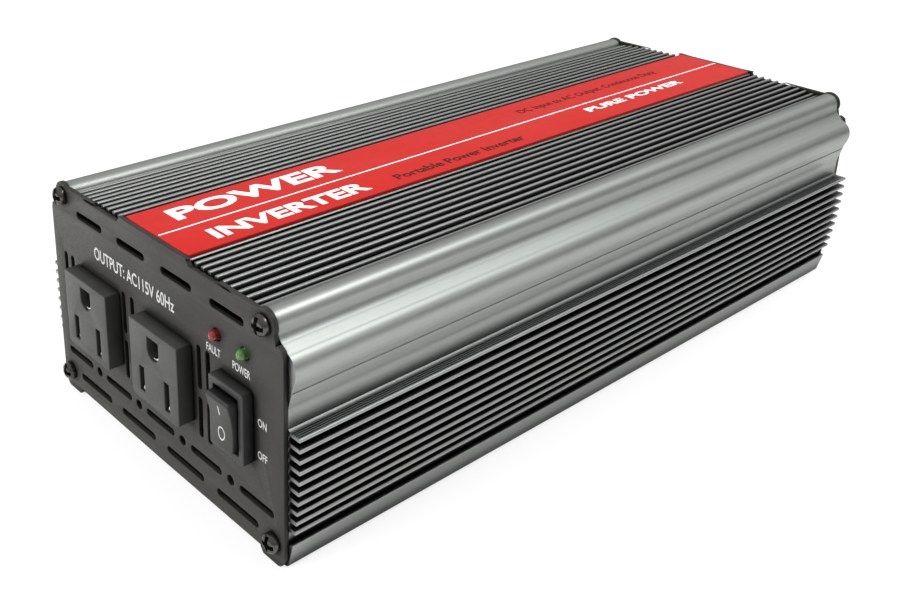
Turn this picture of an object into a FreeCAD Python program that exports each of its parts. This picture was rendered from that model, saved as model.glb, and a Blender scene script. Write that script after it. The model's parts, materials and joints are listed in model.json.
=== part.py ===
"""Power inverter: finned two-part case, outlet panel in front, fan and DC terminals at the rear.

Frame: X to the right seen from the outlet panel, Y from the outlet panel to the fan panel, Z up.
The origin is on the ground under the middle of the case. Every size is in millimetres.
"""

import FreeCAD, Part
import os
import re
import Sketcher

VECTOR = FreeCAD.Vector
FULL_CIRCLE = 360.0
NEARLY_ZERO = 1e-6

# alias: (value, meaning)
DIMENSIONS = {
    "case_length": (269.0, "length of both aluminium extrusions"),
    "panel_thickness": (1.5, "sheet thickness of the end panels"),
    "panel_half_width": (57.9, "half width of the end panels"),
    "panel_top": (71.8, "top edge of the end panels beside the label"),
    "panel_crown": (73.6, "top edge of the end panels under the label and over the screws"),
    "panel_bottom": (1.9, "bottom edge of the end panels between the feet"),
    "panel_foot": (0.2, "bottom edge of the end panels at the feet"),
    "wall_outer": (57.8, "outer face of the side walls between the fins"),
    "wall_thick": (2.3, "thickness of the side walls"),
    "floor_bottom": (2.0, "underside of the floor"),
    "floor_top": (4.5, "upper side of the floor"),
    "seam_height": (53.2, "height of the seam between the two extrusions"),
    "foot_inner": (48.0, "inner edge of a foot rail"),
    "foot_outer": (58.1, "outer edge of a foot rail near the ground"),
    "foot_lip": (59.5, "outer edge of the hooked lip above a foot rail"),
    "lip_height": (8.3, "top of the hooked lip"),
    "side_fin_pitch": (3.2, "distance between side fins"),
    "side_fin_first": (12.8, "height of the lowest side fin"),
    "side_fin_thick": (1.2, "thickness of a side fin"),
    "side_fin_reach": (62.6, "widest half width over the side fins"),
    "side_fin_belly": (37.2, "height at which the side fins reach furthest"),
    "side_fin_sag": (0.0035, "how fast the side fins get shorter away from the belly"),
    "top_fin_pitch": (3.0625, "distance between top fins"),
    "top_fin_first": (19.3, "middle of the top fin next to the label"),
    "top_fin_thick": (1.7, "thickness of a top fin"),
    "top_fin_peak": (73.1, "tip of the top fin next to the label"),
    "top_fin_drop": (0.0023, "how fast the top fins get lower away from the label"),
    "plate_bottom": (67.0, "underside of the top plate"),
    "plate_top": (69.3, "upper side of the top plate between the fins"),
    "label_half_width": (15.85, "half width of the label plate"),
    "label_thick": (0.8, "thickness of the label plate"),
    "label_seat": (72.9, "height of the flat land under the label plate"),
    "upper_screw_x": (50.3, "side distance of the upper corner screws"),
    "upper_screw_z": (69.1, "height of the upper corner screws"),
    "lower_screw_x": (53.4, "side distance of the lower corner screws"),
    "lower_screw_z": (7.0, "height of the lower corner screws"),
    "channel_radius": (3.85, "outside radius of a screw channel"),
    "screw_radius": (1.5, "shank radius of the corner screws"),
    "screw_hole": (1.65, "radius of the screw holes in panels and channels"),
    "screw_head": (2.9, "head radius of the corner screws"),
    "screw_head_thick": (2.6, "head height of the corner screws"),
    "screw_dome": (4.4, "radius of the dome over a corner screw's head"),
    "recess_length": (3.6, "length of each slot of a cross recess"),
    "recess_width": (0.8, "width of each slot of a cross recess"),
    "recess_depth": (1.6, "depth of a cross recess"),
    "screw_length": (12.0, "shank length of the corner screws"),
    "outlet_left": (-30.8, "middle of the left outlet"),
    "outlet_right": (6.3, "middle of the right outlet"),
    "outlet_height": (36.8, "middle of both outlets"),
    "outlet_width": (24.0, "face width of an outlet"),
    "outlet_tall": (24.5, "face height of an outlet"),
    "outlet_proud": (5.0, "how far an outlet stands out of the panel"),
    "outlet_body": (22.0, "width and height of an outlet behind the panel"),
    "outlet_depth": (19.0, "depth of an outlet behind the panel's front face"),
    "outlet_wall": (1.8, "front wall thickness of an outlet"),
    "blade_half_gap": (6.35, "half the distance between the two flat blades"),
    "blade_drop": (5.3, "how far the blade slots sit below the outlet's middle"),
    "ground_rise": (6.4, "how far the ground hole sits above the outlet's middle"),
    "slot_width": (2.4, "width of a blade slot"),
    "line_slot": (7.9, "height of the short blade slot"),
    "neutral_slot": (9.1, "height of the long blade slot"),
    "ground_width": (5.8, "width of the ground hole"),
    "ground_tall": (6.6, "height of the ground hole"),
    "cavity_width": (5.6, "width of the room for a contact"),
    "cavity_tall": (10.0, "height of the room for a contact"),
    "leaf_thick": (0.6, "sheet thickness of the contacts"),
    "switch_x": (38.3, "middle of the rocker switch"),
    "switch_z": (37.4, "middle height of the rocker switch"),
    "bezel_width": (14.8, "outside width of the switch bezel"),
    "bezel_tall": (21.0, "outside height of the switch bezel"),
    "bezel_proud": (3.5, "how far the bezel stands out of the panel"),
    "rocker_width": (9.8, "width of the rocker"),
    "rocker_tall": (15.4, "height of the rocker"),
    "rocker_upper": (6.5, "how far the rocker's upper end stands out of the panel"),
    "rocker_hollow": (4.9, "how far the rocker's hollow middle stands out of the panel"),
    "rocker_lower": (5.2, "how far the rocker's lower end stands out of the panel"),
    "rocker_belly": (5.2, "how far the rocker reaches behind the panel's front face"),
    "rocker_bore": (1.56, "radius of the rocker's pivot hole"),
    "pivot_radius": (1.5, "radius of the rocker's pivot pin"),
    "led_radius": (1.6, "radius of a status light"),
    "led_z": (57.2, "height of both status lights"),
    "fault_led_x": (30.2, "middle of the fault light"),
    "power_led_x": (42.3, "middle of the power light"),
    "vent_pitch": (23.12, "distance between vent slots of the upper rows"),
    "vent_upper_z": (65.6, "height of the top vent row"),
    "vent_upper_length": (14.75, "slot length in the top vent row"),
    "vent_middle_z": (15.0, "height of the middle vent row"),
    "vent_lower_z": (7.8, "height of the lowest vent row"),
    "vent_lower_pitch": (25.0, "distance between slots in the lowest vent row"),
    "vent_lower_length": (18.7, "slot length in the lowest vent row"),
    "vent_half_height": (1.15, "half height of a vent slot"),
    "vent_hole": (1.5, "radius of the round vent holes"),
    "riser_half_width": (1.0, "half width of the upright vent slots"),
    "fan_x": (-18.0, "middle of the fan"),
    "fan_z": (36.0, "height of the fan's middle"),
    "fan_size": (60.0, "width and height of the fan frame"),
    "fan_depth": (20.0, "depth of the fan frame"),
    "fan_bore": (28.5, "radius of the fan's air passage"),
    "fan_hole_half": (25.0, "half the distance between the fan's mounting holes"),
    "fan_screw_head": (3.2, "head radius of the fan's screws"),
    "rotor_radius": (27.3, "radius over the fan blades"),
    "hub_radius": (13.5, "radius of the rotor hub"),
    "shaft_radius": (1.5, "radius of the rotor shaft"),
    "shaft_bore": (1.56, "bore radius of the bearing tube"),
    "guard_wire": (0.75, "wire radius of the fan guard"),
    "post_radius": (4.0, "radius of the DC input posts"),
    "post_length": (44.0, "length of the DC input posts"),
    "post_spacing_half": (9.6, "half the distance between the DC input posts"),
    "post_middle": (28.9, "middle between the DC input posts"),
    "post_z": (30.0, "height of the DC input posts"),
    "bush_flange": (8.5, "flange radius of an insulating bush"),
    "knob_radius": (8.5, "radius of a terminal knob"),
    "knob_bore": (4.06, "bore radius of a terminal knob"),
    "knob_length": (15.0, "length of a terminal knob"),
    "board_half_width": (51.5, "half width of the main board"),
    "board_bottom": (11.5, "underside of the main board"),
    "board_thick": (1.6, "thickness of a circuit board"),
    "board_front": (-112.0, "front edge of the main board"),
    "board_back": (88.0, "rear edge of the main board"),
    "choke_x": (30.0, "sideways place of the output choke"),
    "choke_y": (-63.0, "lengthways place of the output choke"),
    "choke_radius": (10.5, "middle radius of the output choke"),
    "card_y": (-82.0, "lengthways place of the control board"),
}

doc = FreeCAD.newDocument("power_inverter")
sheet = doc.addObject("Spreadsheet::Sheet", "dims")
for row, (alias, (size, meaning)) in enumerate(DIMENSIONS.items(), start=1):
    sheet.set(f"A{row}", meaning)
    sheet.set(f"B{row}", str(size))
    sheet.setAlias(f"B{row}", alias)
doc.recompute()

sub_parts = {}


def named(text):
    """The expression with each bare alias turned into a reference to the sheet."""
    def reference(word):
        alias = word.group()
        return f"dims.{alias}" if alias in DIMENSIONS else alias

    return re.sub(r"[a-z][a-z_]+", reference, str(text))


def number(text):
    """The present value of an expression."""
    return float(sheet.evalExpression(named(text)))


def bind(obj, **sizes):
    for size_name, text in sizes.items():
        obj.setExpression(size_name, named(text))
    return obj


def place(obj, x="0", y="0", z="0", turn=None):
    if turn is not None:
        obj.Placement = FreeCAD.Placement(VECTOR(), turn)
    for axis, text in zip("xyz", (x, y, z)):
        obj.setExpression(f"Placement.Base.{axis}", named(text))
    return obj


ALONG_X = FreeCAD.Rotation(VECTOR(0, 1, 0), 90)
ALONG_Y = FreeCAD.Rotation(VECTOR(1, 0, 0), -90)


# ---------------------------------------------------------------- Part primitives

def block(name, x, y, z):
    """A box from three pairs of expressions, each pair a low and a high side."""
    box = doc.addObject("Part::Box", name)
    bind(box, Length=f"({x[1]}) - ({x[0]})", Width=f"({y[1]}) - ({y[0]})", Height=f"({z[1]}) - ({z[0]})")
    return place(box, x[0], y[0], z[0])


def around(middle, size):
    """Low and high side of something centred on middle."""
    return (f"{middle} - ({size}) / 2", f"{middle} + ({size}) / 2")


def rod(name, radius, length, x, y, z, turn=ALONG_Y):
    """A cylinder that starts at the given point and runs along +Y, or along the turned axis."""
    cylinder = doc.addObject("Part::Cylinder", name)
    bind(cylinder, Radius=radius, Height=length)
    return place(cylinder, x, y, z, turn)


def cut(name, base, *tools):
    for count, tool in enumerate(tools, start=1):
        result = doc.addObject("Part::Cut", name if count == len(tools) else f"{name}_cut{count}")
        result.Base = base
        result.Tool = tool
        base = result
    return base


def common(name, first, second):
    result = doc.addObject("Part::Common", name)
    result.Base = first
    result.Tool = second
    return result


def ball(name, radius, x, y, z):
    sphere = doc.addObject("Part::Sphere", name)
    bind(sphere, Radius=radius)
    return place(sphere, x, y, z)


def fuse(name, *pieces, refine=True):
    result = doc.addObject("Part::MultiFuse", name)
    result.Shapes = list(pieces)
    result.Refine = refine
    return result


def group(name, *pieces):
    """Separate solids of one node."""
    result = doc.addObject("Part::Compound", name)
    result.Links = list(pieces)
    return result


def ring(name, outer, inner, length, x, y, z, turn=ALONG_Y):
    body = rod(f"{name}_disc", outer, length, x, y, z, turn)
    bore = rod(f"{name}_hole", inner, length, x, y, z, turn)
    return cut(name, body, bore)


def node(obj, name):
    obj.Label = name
    sub_parts[name] = obj
    return obj


# ---------------------------------------------------------------- PartDesign bodies

def new_body(name):
    return node(doc.addObject("PartDesign::Body", f"{name}_body"), name)


def origin_feature(body, role):
    return next(part for part in body.Origin.OriginFeatures if part.Role == role)


def new_sketch(body, name, role, away="0"):
    sketch = body.newObject("Sketcher::SketchObject", name)
    sketch.AttachmentSupport = [(origin_feature(body, role), "")]
    sketch.MapMode = "FlatFace"
    sketch.setExpression("AttachmentOffset.Base.z", named(away))
    return sketch


def hold(sketch, line, point, kind, text):
    """Ties one coordinate of a sketch point to an expression, measured from the sketch origin."""
    size = number(text)
    if abs(size) < NEARLY_ZERO:
        axis_line = -2 if kind == "DistanceX" else -1
        sketch.addConstraint(Sketcher.Constraint("PointOnObject", line, point, axis_line))
    elif size > 0:
        index = sketch.addConstraint(Sketcher.Constraint(kind, -1, 1, line, point, size))
        sketch.setExpression(f"Constraints[{index}]", named(text))
    else:
        index = sketch.addConstraint(Sketcher.Constraint(kind, line, point, -1, 1, -size))
        sketch.setExpression(f"Constraints[{index}]", named(f"-({text})"))


def outline(sketch, corners):
    """A closed outline whose corners are pairs of expressions."""
    points = [VECTOR(number(x), number(y), 0) for x, y in corners]
    first = sketch.GeometryCount
    for start, end in zip(points, points[1:] + points[:1]):
        sketch.addGeometry(Part.LineSegment(start, end), False)
    for index, (x, y) in enumerate(corners):
        following = (index + 1) % len(corners)
        sketch.addConstraint(Sketcher.Constraint("Coincident", first + index, 2, first + following, 1))
        hold(sketch, first + index, 1, "DistanceX", x)
        hold(sketch, first + index, 1, "DistanceY", y)


def rectangle(sketch, middle_x, middle_y, width, height):
    low_x, high_x = around(middle_x, width)
    low_y, high_y = around(middle_y, height)
    outline(sketch, ((low_x, low_y), (high_x, low_y), (high_x, high_y), (low_x, high_y)))


def circle(sketch, x, y, radius):
    shape = Part.Circle(VECTOR(number(x), number(y), 0), VECTOR(0, 0, 1), number(radius))
    index = sketch.addGeometry(shape, False)
    constraint = sketch.addConstraint(Sketcher.Constraint("Radius", index, number(radius)))
    sketch.setExpression(f"Constraints[{constraint}]", named(radius))
    hold(sketch, index, 3, "DistanceX", x)
    hold(sketch, index, 3, "DistanceY", y)


def slot(sketch, x, y, length, half_height, upright=False):
    """A rectangle with round ends: one outline of two straight sides and two half circles."""
    reach = number(length) / 2 - number(half_height)
    radius = number(half_height)
    middle = VECTOR(number(x), number(y), 0)
    along = VECTOR(0, 1, 0) if upright else VECTOR(1, 0, 0)
    across = VECTOR(-1, 0, 0) if upright else VECTOR(0, 1, 0)
    ends = (middle + along * reach, middle - along * reach)
    corners = [ends[0] - across * radius, ends[0] + across * radius, ends[1] + across * radius,
               ends[1] - across * radius]
    first = sketch.addGeometry(Part.Arc(corners[0], ends[0] + along * radius, corners[1]), False)
    sketch.addGeometry(Part.LineSegment(corners[1], corners[2]), False)
    sketch.addGeometry(Part.Arc(corners[2], ends[1] - along * radius, corners[3]), False)
    sketch.addGeometry(Part.LineSegment(corners[3], corners[0]), False)
    for arc, sign in ((first, "+"), (first + 2, "-")):
        shift = f"{sign} (({length}) / 2 - ({half_height}))"
        hold(sketch, arc, 3, "DistanceX", x if upright else f"{x} {shift}")
        hold(sketch, arc, 3, "DistanceY", f"{y} {shift}" if upright else y)
        constraint = sketch.addConstraint(Sketcher.Constraint("Radius", arc, radius))
        sketch.setExpression(f"Constraints[{constraint}]", named(half_height))


def pad(body, sketch, length, name, backwards=False):
    feature = body.newObject("PartDesign::Pad", name)
    feature.Profile = sketch
    feature.Reversed = backwards
    bind(feature, Length=length)
    body.Tip = feature
    return feature


def pocket(body, sketch, name, length="200", midplane=True):
    before = solid_volume(body)
    feature = body.newObject("PartDesign::Pocket", name)
    feature.Profile = sketch
    feature.Midplane = midplane
    bind(feature, Length=length)
    body.Tip = feature
    if solid_volume(body) >= before:
        raise RuntimeError(f"{name} cuts nothing")
    return feature


def mirror(body, features, role, name):
    feature = body.newObject("PartDesign::Mirrored", name)
    feature.Originals = features
    feature.MirrorPlane = (origin_feature(body, role), [""])
    body.Tip = feature
    return feature


def repeat(body, features, role, spacing, count, name):
    feature = body.newObject("PartDesign::LinearPattern", name)
    feature.Originals = features
    feature.Direction = (origin_feature(body, role), [""])
    feature.Mode = "Spacing"
    feature.Occurrences = count
    bind(feature, Offset=spacing)
    body.Tip = feature
    return feature


def polar(body, features, role, count, name):
    feature = body.newObject("PartDesign::PolarPattern", name)
    feature.Originals = features
    feature.Axis = (origin_feature(body, role), [""])
    feature.Angle = FULL_CIRCLE
    feature.Occurrences = count
    body.Tip = feature
    return feature


def solid_volume(body):
    doc.recompute()
    return body.Shape.Volume


# ---------------------------------------------------------------- case

FRONT = "-(case_length / 2 + panel_thickness)"
FRONT_INNER = "-case_length / 2"
REAR = "case_length / 2 + panel_thickness"
REAR_INNER = "case_length / 2"
SIDE_FINS = 10
TOP_FINS = 9


def base_shell():
    """Lower extrusion: floor, two finned side walls, two foot rails with a hooked lip and a screw channel."""
    body = new_body("base_shell")
    trough = new_sketch(body, "trough", "XZ_Plane", REAR_INNER)
    inner = "wall_outer - wall_thick"
    outline(trough, (("-wall_outer", "seam_height"), ("-wall_outer", "floor_bottom"),
                     ("wall_outer", "floor_bottom"), ("wall_outer", "seam_height"), (inner, "seam_height"),
                     (inner, "floor_top"), (f"-({inner})", "floor_top"), (f"-({inner})", "seam_height")))
    pad(body, trough, "case_length", "trough_pad", backwards=True)

    rail = new_sketch(body, "rail", "XZ_Plane", REAR_INNER)
    outline(rail, (("foot_inner", "floor_bottom + 0.2"), ("foot_inner + 0.6", "0"), ("foot_outer - 3.6", "0"),
                   ("foot_outer - 0.9", "0.5"), ("foot_outer", "1.7"), ("foot_lip", "lip_height"),
                   ("foot_lip - 1.2", "lip_height"), ("wall_outer - 1", "floor_top")))
    rail_pad = pad(body, rail, "case_length", "rail_pad", backwards=True)

    channel = new_sketch(body, "channel", "XZ_Plane", REAR_INNER)
    circle(channel, "lower_screw_x", "lower_screw_z", "channel_radius")
    channel_pad = pad(body, channel, "case_length", "channel_pad", backwards=True)

    fins = new_sketch(body, "side_fins", "XZ_Plane", REAR_INNER)
    for index in range(SIDE_FINS):
        level = f"side_fin_first + {index} * side_fin_pitch"
        tip = f"side_fin_reach - side_fin_sag * ({level} - side_fin_belly) ^ 2"
        low, high = around(f"({level})", "side_fin_thick")
        edge = "side_fin_thick / 4"
        outline(fins, (("wall_outer - 0.5", low), (f"{tip} - {edge}", low), (tip, f"{low} + {edge}"),
                       (tip, f"{high} - {edge}"), (f"{tip} - {edge}", high), ("wall_outer - 0.5", high)))
    fins_pad = pad(body, fins, "case_length", "fins_pad", backwards=True)
    mirror(body, [rail_pad, channel_pad, fins_pad], "YZ_Plane", "left_side")

    holes = new_sketch(body, "channel_holes", "XZ_Plane")
    for side in ("lower_screw_x", "-lower_screw_x"):
        circle(holes, side, "lower_screw_z", "screw_hole")
    pocket(body, holes, "channel_bores", "case_length + 2")


def top_shell():
    """Upper extrusion: rounded shoulders, screw channels, fins both sides of a flat land for the label."""
    body = new_body("top_shell")
    roof = new_sketch(body, "roof", "XZ_Plane", REAR_INNER)
    tongue_outer = "wall_outer - wall_thick - 0.2"
    tongue_inner = "wall_outer - wall_thick - 1.9"
    land = "label_half_width + 1"
    outline(roof, (("0", "plate_bottom"), ("upper_screw_x - 2", "plate_bottom"),
                   (tongue_inner, "seam_height + 9"), (tongue_inner, "seam_height - 3"),
                   (tongue_outer, "seam_height - 3"),
                   (tongue_outer, "seam_height"), ("wall_outer + 0.8", "seam_height"),
                   ("wall_outer + 3.3", "seam_height + 2.5"), ("wall_outer + 3", "seam_height + 5.8"),
                   ("wall_outer + 2.3", "seam_height + 8.6"), ("wall_outer + 0.9", "seam_height + 10.5"),
                   ("wall_outer - 1.4", "seam_height + 11.6"), ("wall_outer - 2.9", "seam_height + 13.2"),
                   ("wall_outer - 3.6", "upper_screw_z"), ("upper_screw_x", "upper_screw_z + 1.2"),
                   ("upper_screw_x - 3.5", "upper_screw_z + 1.2"), ("upper_screw_x - 4.2", "plate_top + 2"),
                   ("upper_screw_x - 5", "plate_top + 2"), ("upper_screw_x - 5.3", "plate_top"),
                   (land, "plate_top"), (land, "label_seat"), ("0", "label_seat")))
    roof_pad = pad(body, roof, "case_length", "roof_pad", backwards=True)

    channel = new_sketch(body, "upper_channel", "XZ_Plane", REAR_INNER)
    circle(channel, "upper_screw_x", "upper_screw_z", "channel_radius")
    channel_pad = pad(body, channel, "case_length", "upper_channel_pad", backwards=True)

    fins = new_sketch(body, "top_fins", "XZ_Plane", REAR_INNER)
    for index in range(TOP_FINS):
        middle = f"(top_fin_first + {index} * top_fin_pitch)"
        peak = f"top_fin_peak - top_fin_drop * ({index} * top_fin_pitch) ^ 2"
        half = "top_fin_thick / 2"
        outline(fins, ((f"{middle} - {half}", "plate_top - 0.5"), (f"{middle} + {half}", "plate_top - 0.5"),
                       (f"{middle} + {half}", f"{peak} - {half}"), (f"{middle} + {half} / 2", peak),
                       (f"{middle} - {half} / 2", peak), (f"{middle} - {half}", f"{peak} - {half}")))
    fins_pad = pad(body, fins, "case_length", "top_fins_pad", backwards=True)
    mirror(body, [roof_pad, channel_pad, fins_pad], "YZ_Plane", "left_half")

    holes = new_sketch(body, "upper_channel_holes", "XZ_Plane")
    for side in ("upper_screw_x", "-upper_screw_x"):
        circle(holes, side, "upper_screw_z", "screw_hole")
    pocket(body, holes, "upper_channel_bores", "case_length + 2")


def panel_blank(name, back_face):
    """Sheet panel with raised lobes round the upper screws and a raised middle under the label."""
    body = new_body(name)
    sheet_metal = new_sketch(body, f"{name}_outline", "XZ_Plane", f"-({back_face})")
    crown = "label_half_width + 0.8"
    outline(sheet_metal, (("0", "panel_bottom"), ("foot_inner - 0.5", "panel_bottom"),
                          ("foot_inner + 0.8", "panel_foot"), ("panel_half_width - 3", "panel_foot"),
                          ("panel_half_width - 0.9", "panel_foot + 0.9"),
                          ("panel_half_width", "panel_foot + 3"),
                          ("panel_half_width", "63"), ("panel_half_width - 1.3", "65.2"),
                          ("panel_half_width - 2.9", "65.9"), ("panel_half_width - 3.4", "69.6"),
                          ("panel_half_width - 4.6", "72.3"), ("panel_half_width - 6.8", "panel_crown - 0.2"),
                          ("upper_screw_x - 4.9", "panel_crown - 0.2"), ("upper_screw_x - 7", "panel_top"),
                          (f"{crown} + 1.5", "panel_top"), (crown, "panel_crown"), ("0", "panel_crown")))
    half = pad(body, sheet_metal, "panel_thickness", f"{name}_sheet", backwards=False)
    mirror(body, [half], "YZ_Plane", f"{name}_other_half")
    return body


def screw_holes(body, name):
    holes = new_sketch(body, f"{name}_screw_holes", "XZ_Plane")
    for side in ("", "-"):
        circle(holes, f"{side}upper_screw_x", "upper_screw_z", "screw_hole")
        circle(holes, f"{side}lower_screw_x", "lower_screw_z", "screw_hole")
    pocket(body, holes, f"{name}_screw_bores", "case_length + 20")


def vent_row(body, name, first_x, z, length, pitch, count):
    row_sketch = new_sketch(body, f"{name}_sketch", "XZ_Plane")
    slot(row_sketch, first_x, z, length, "vent_half_height")
    first = pocket(body, row_sketch, name, "case_length + 20")
    repeat(body, [first], "X_Axis", pitch, count, f"{name}_row")


def front_panel():
    """Outlet panel: cut-outs for outlets, switch and lights, and its vent slots and holes."""
    body = panel_blank("front_panel", FRONT_INNER)
    screw_holes(body, "front")
    vent_row(body, "upper_vents", "-1.5 * vent_pitch", "vent_upper_z", "vent_upper_length", "vent_pitch", 4)
    vent_row(body, "middle_vents", "-2 * vent_pitch", "vent_middle_z", "vent_upper_length", "vent_pitch", 5)
    vent_row(body, "lower_vents", "-1.5 * vent_lower_pitch", "vent_lower_z", "vent_lower_length",
             "vent_lower_pitch", 4)

    dots = new_sketch(body, "vent_dots", "XZ_Plane")
    for index in range(4):
        circle(dots, f"({index} - 1.5) * vent_pitch", "vent_middle_z", "vent_hole")
    pocket(body, dots, "vent_dot_bores", "case_length + 20")

    risers = new_sketch(body, "riser_slots", "XZ_Plane")
    for middle in ("-51", "-46.8", "-17", "-12.3", "21.4", "25.6"):
        slot(risers, middle, "43.4", "13.5", "riser_half_width", upright=True)
        slot(risers, middle, "27.8", "12.7", "riser_half_width", upright=True)
    pocket(body, risers, "riser_cuts", "case_length + 20")

    windows = new_sketch(body, "front_windows", "XZ_Plane")
    for middle in ("outlet_left", "outlet_right"):
        rectangle(windows, middle, "outlet_height", "outlet_body + 0.3", "outlet_body + 0.3")
    rectangle(windows, "switch_x", "switch_z", "bezel_width - 1.6", "bezel_tall - 1.6")
    for middle in ("fault_led_x", "power_led_x"):
        circle(windows, middle, "led_z", "led_radius + 0.2")
    pocket(body, windows, "front_window_cuts", "case_length + 20")


def rear_panel():
    """Fan panel: air opening, post holes, ground stud hole and vent slots."""
    body = panel_blank("rear_panel", REAR)
    screw_holes(body, "rear")
    openings = new_sketch(body, "rear_openings", "XZ_Plane")
    circle(openings, "fan_x", "fan_z", "fan_bore - 0.5")
    for across in ("-", "+"):
        for up in ("-", "+"):
            circle(openings, f"fan_x {across} fan_hole_half", f"fan_z {up} fan_hole_half", "2.2")
        circle(openings, f"post_middle {across} post_spacing_half", "post_z", "7.2")
    circle(openings, "post_middle", "14", "2.7")
    pocket(body, openings, "rear_opening_cuts", "case_length + 20")
    vent_row(body, "rear_vents", "19.5", "58.5", "9", "12", 3)


def label_plate():
    body = new_body("label_plate")
    strip = new_sketch(body, "label_outline", "XY_Plane", "label_seat")
    rectangle(strip, "0", "0", "2 * label_half_width", "case_length - 0.4")
    pad(body, strip, "label_thick", "label_pad")


def pan_screw(name, x, z, outward):
    """Pan head screw with a cross recess; outward is -1 at the front panel and 1 at the rear."""
    face = FRONT if outward < 0 else REAR
    head_y = f"{face} - screw_head_thick" if outward < 0 else face
    shank_y = face if outward < 0 else f"{face} - screw_length"
    head = rod(f"{name}_head", "screw_head", "screw_head_thick", x, head_y, z)
    dome_y = f"{face} {'-' if outward < 0 else '+'} (screw_head_thick - screw_dome)"
    dome = common(f"{name}_dome", head, ball(f"{name}_ball", "screw_dome", x, dome_y, z))
    shank = rod(f"{name}_shank", "screw_radius", "screw_length", x, shank_y, z)
    recess_y = (f"{face} - screw_head_thick - 1", f"{face} - screw_head_thick + recess_depth")
    if outward > 0:
        recess_y = (f"{face} + screw_head_thick - recess_depth", f"{face} + screw_head_thick + 1")
    wide = block(f"{name}_recess_wide", around(x, "recess_length"), recess_y, around(z, "recess_width"))
    tall = block(f"{name}_recess_tall", around(x, "recess_width"), recess_y, around(z, "recess_length"))
    return cut(name, fuse(f"{name}_solid", dome, shank), wide, tall)


def corner_screws(name, outward):
    screws = []
    for count, side in enumerate(("", "-")):
        screws.append(pan_screw(f"{name}_upper{count}", f"{side}upper_screw_x", "upper_screw_z", outward))
        screws.append(pan_screw(f"{name}_lower{count}", f"{side}lower_screw_x", "lower_screw_z", outward))
    node(group(name, *screws), name)


# ---------------------------------------------------------------- outlets

def outlet_housing(name, middle):
    """Plastic outlet: proud face with blade slots and a ground hole, rooms behind them open to the rear."""
    body = new_body(name)
    face_y = f"({FRONT} - outlet_proud)"
    face = new_sketch(body, f"{name}_face", "XZ_Plane", f"-{face_y}")
    low_x, high_x = around(middle, "outlet_width")
    low_z, high_z = around("outlet_height", "outlet_tall")
    outline(face, ((f"{low_x} + 1.5", low_z), (f"{high_x} - 1.5", low_z), (high_x, f"{low_z} + 1.5"),
                   (high_x, high_z), (low_x, high_z), (low_x, f"{low_z} + 1.5")))
    pad(body, face, "outlet_proud", f"{name}_flange", backwards=True)
    plug = new_sketch(body, f"{name}_plug", "XZ_Plane", f"-({face_y} + outlet_proud - 0.5)")
    rectangle(plug, middle, "outlet_height", "outlet_body", "outlet_body")
    pad(body, plug, "outlet_depth + 0.5", f"{name}_block", backwards=True)

    slots = new_sketch(body, f"{name}_slots", "XZ_Plane")
    rectangle(slots, f"{middle} - blade_half_gap", "outlet_height - blade_drop", "slot_width", "line_slot")
    rectangle(slots, f"{middle} + blade_half_gap", "outlet_height - blade_drop", "slot_width", "neutral_slot")
    ground = "(outlet_height + ground_rise)"
    half = "ground_width / 2"
    outline(slots, ((f"{middle} - {half}", f"{ground} + ground_tall / 2"),
                    (f"{middle} - {half}", f"{ground} - ground_tall / 2 + {half} * 0.75"),
                    (f"{middle} - {half} * 0.7", f"{ground} - ground_tall / 2 + {half} * 0.22"),
                    (middle, f"{ground} - ground_tall / 2"),
                    (f"{middle} + {half} * 0.7", f"{ground} - ground_tall / 2 + {half} * 0.22"),
                    (f"{middle} + {half}", f"{ground} - ground_tall / 2 + {half} * 0.75"),
                    (f"{middle} + {half}", f"{ground} + ground_tall / 2")))
    pocket(body, slots, f"{name}_slot_cuts", "case_length + 40")

    rooms = new_sketch(body, f"{name}_rooms", "XZ_Plane", f"-({face_y} + outlet_wall)")
    for side in ("-", "+"):
        rectangle(rooms, f"{middle} {side} blade_half_gap", "outlet_height - blade_drop", "cavity_width",
                  "cavity_tall")
    rectangle(rooms, middle, ground, "ground_width + 2.6", "ground_tall + 1.4")
    pocket(body, rooms, f"{name}_room_cuts", "outlet_depth + outlet_proud", midplane=False)


CONTACT_FRONT = f"{FRONT} - outlet_proud + outlet_wall + 0.3"
CONTACT_BACK = f"{FRONT} + outlet_depth - 1"


def blade_contact(name, x):
    """Folded sheet contact: two leaves beside the blade, a web behind it and a tab for the wire."""
    height = "(outlet_height - blade_drop)"
    leaf_reach = "slot_width / 2 + 0.15"
    leaves = []
    for side in ("-", "+"):
        edges = (f"{x} {side} ({leaf_reach})", f"{x} {side} ({leaf_reach} + leaf_thick)")
        low, high = edges if side == "+" else edges[::-1]
        leaves.append(block(f"{name}_leaf{len(leaves)}", (low, high), (CONTACT_FRONT, CONTACT_BACK),
                            around(height, "7")))
    web = block(f"{name}_web", around(x, f"2 * ({leaf_reach} + leaf_thick)"),
                (f"{CONTACT_BACK} - leaf_thick", CONTACT_BACK), around(height, "7"))
    tab = block(f"{name}_tab", around(x, "leaf_thick"), (CONTACT_BACK, f"{CONTACT_BACK} + 7"),
                around(height, "4.8"))
    return fuse(name, *leaves, web, tab)


def ground_contact(name, x):
    """Rolled ground contact: a split square sleeve round the pin and a tab for the wire."""
    height = "(outlet_height + ground_rise)"
    outer = block(f"{name}_outer", around(x, "ground_width + 1.7"), (CONTACT_FRONT, CONTACT_BACK),
                  around(height, "ground_tall + 1"))
    inner = block(f"{name}_inner", around(x, "ground_width + 0.3"),
                  (CONTACT_FRONT, f"{CONTACT_BACK} - leaf_thick"), around(height, "ground_tall + 0.2"))
    tab = block(f"{name}_tab", around(x, "4.8"), (CONTACT_BACK, f"{CONTACT_BACK} + 7"),
                around(height, "leaf_thick"))
    return fuse(name, cut(f"{name}_sleeve", outer, inner), tab)


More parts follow.
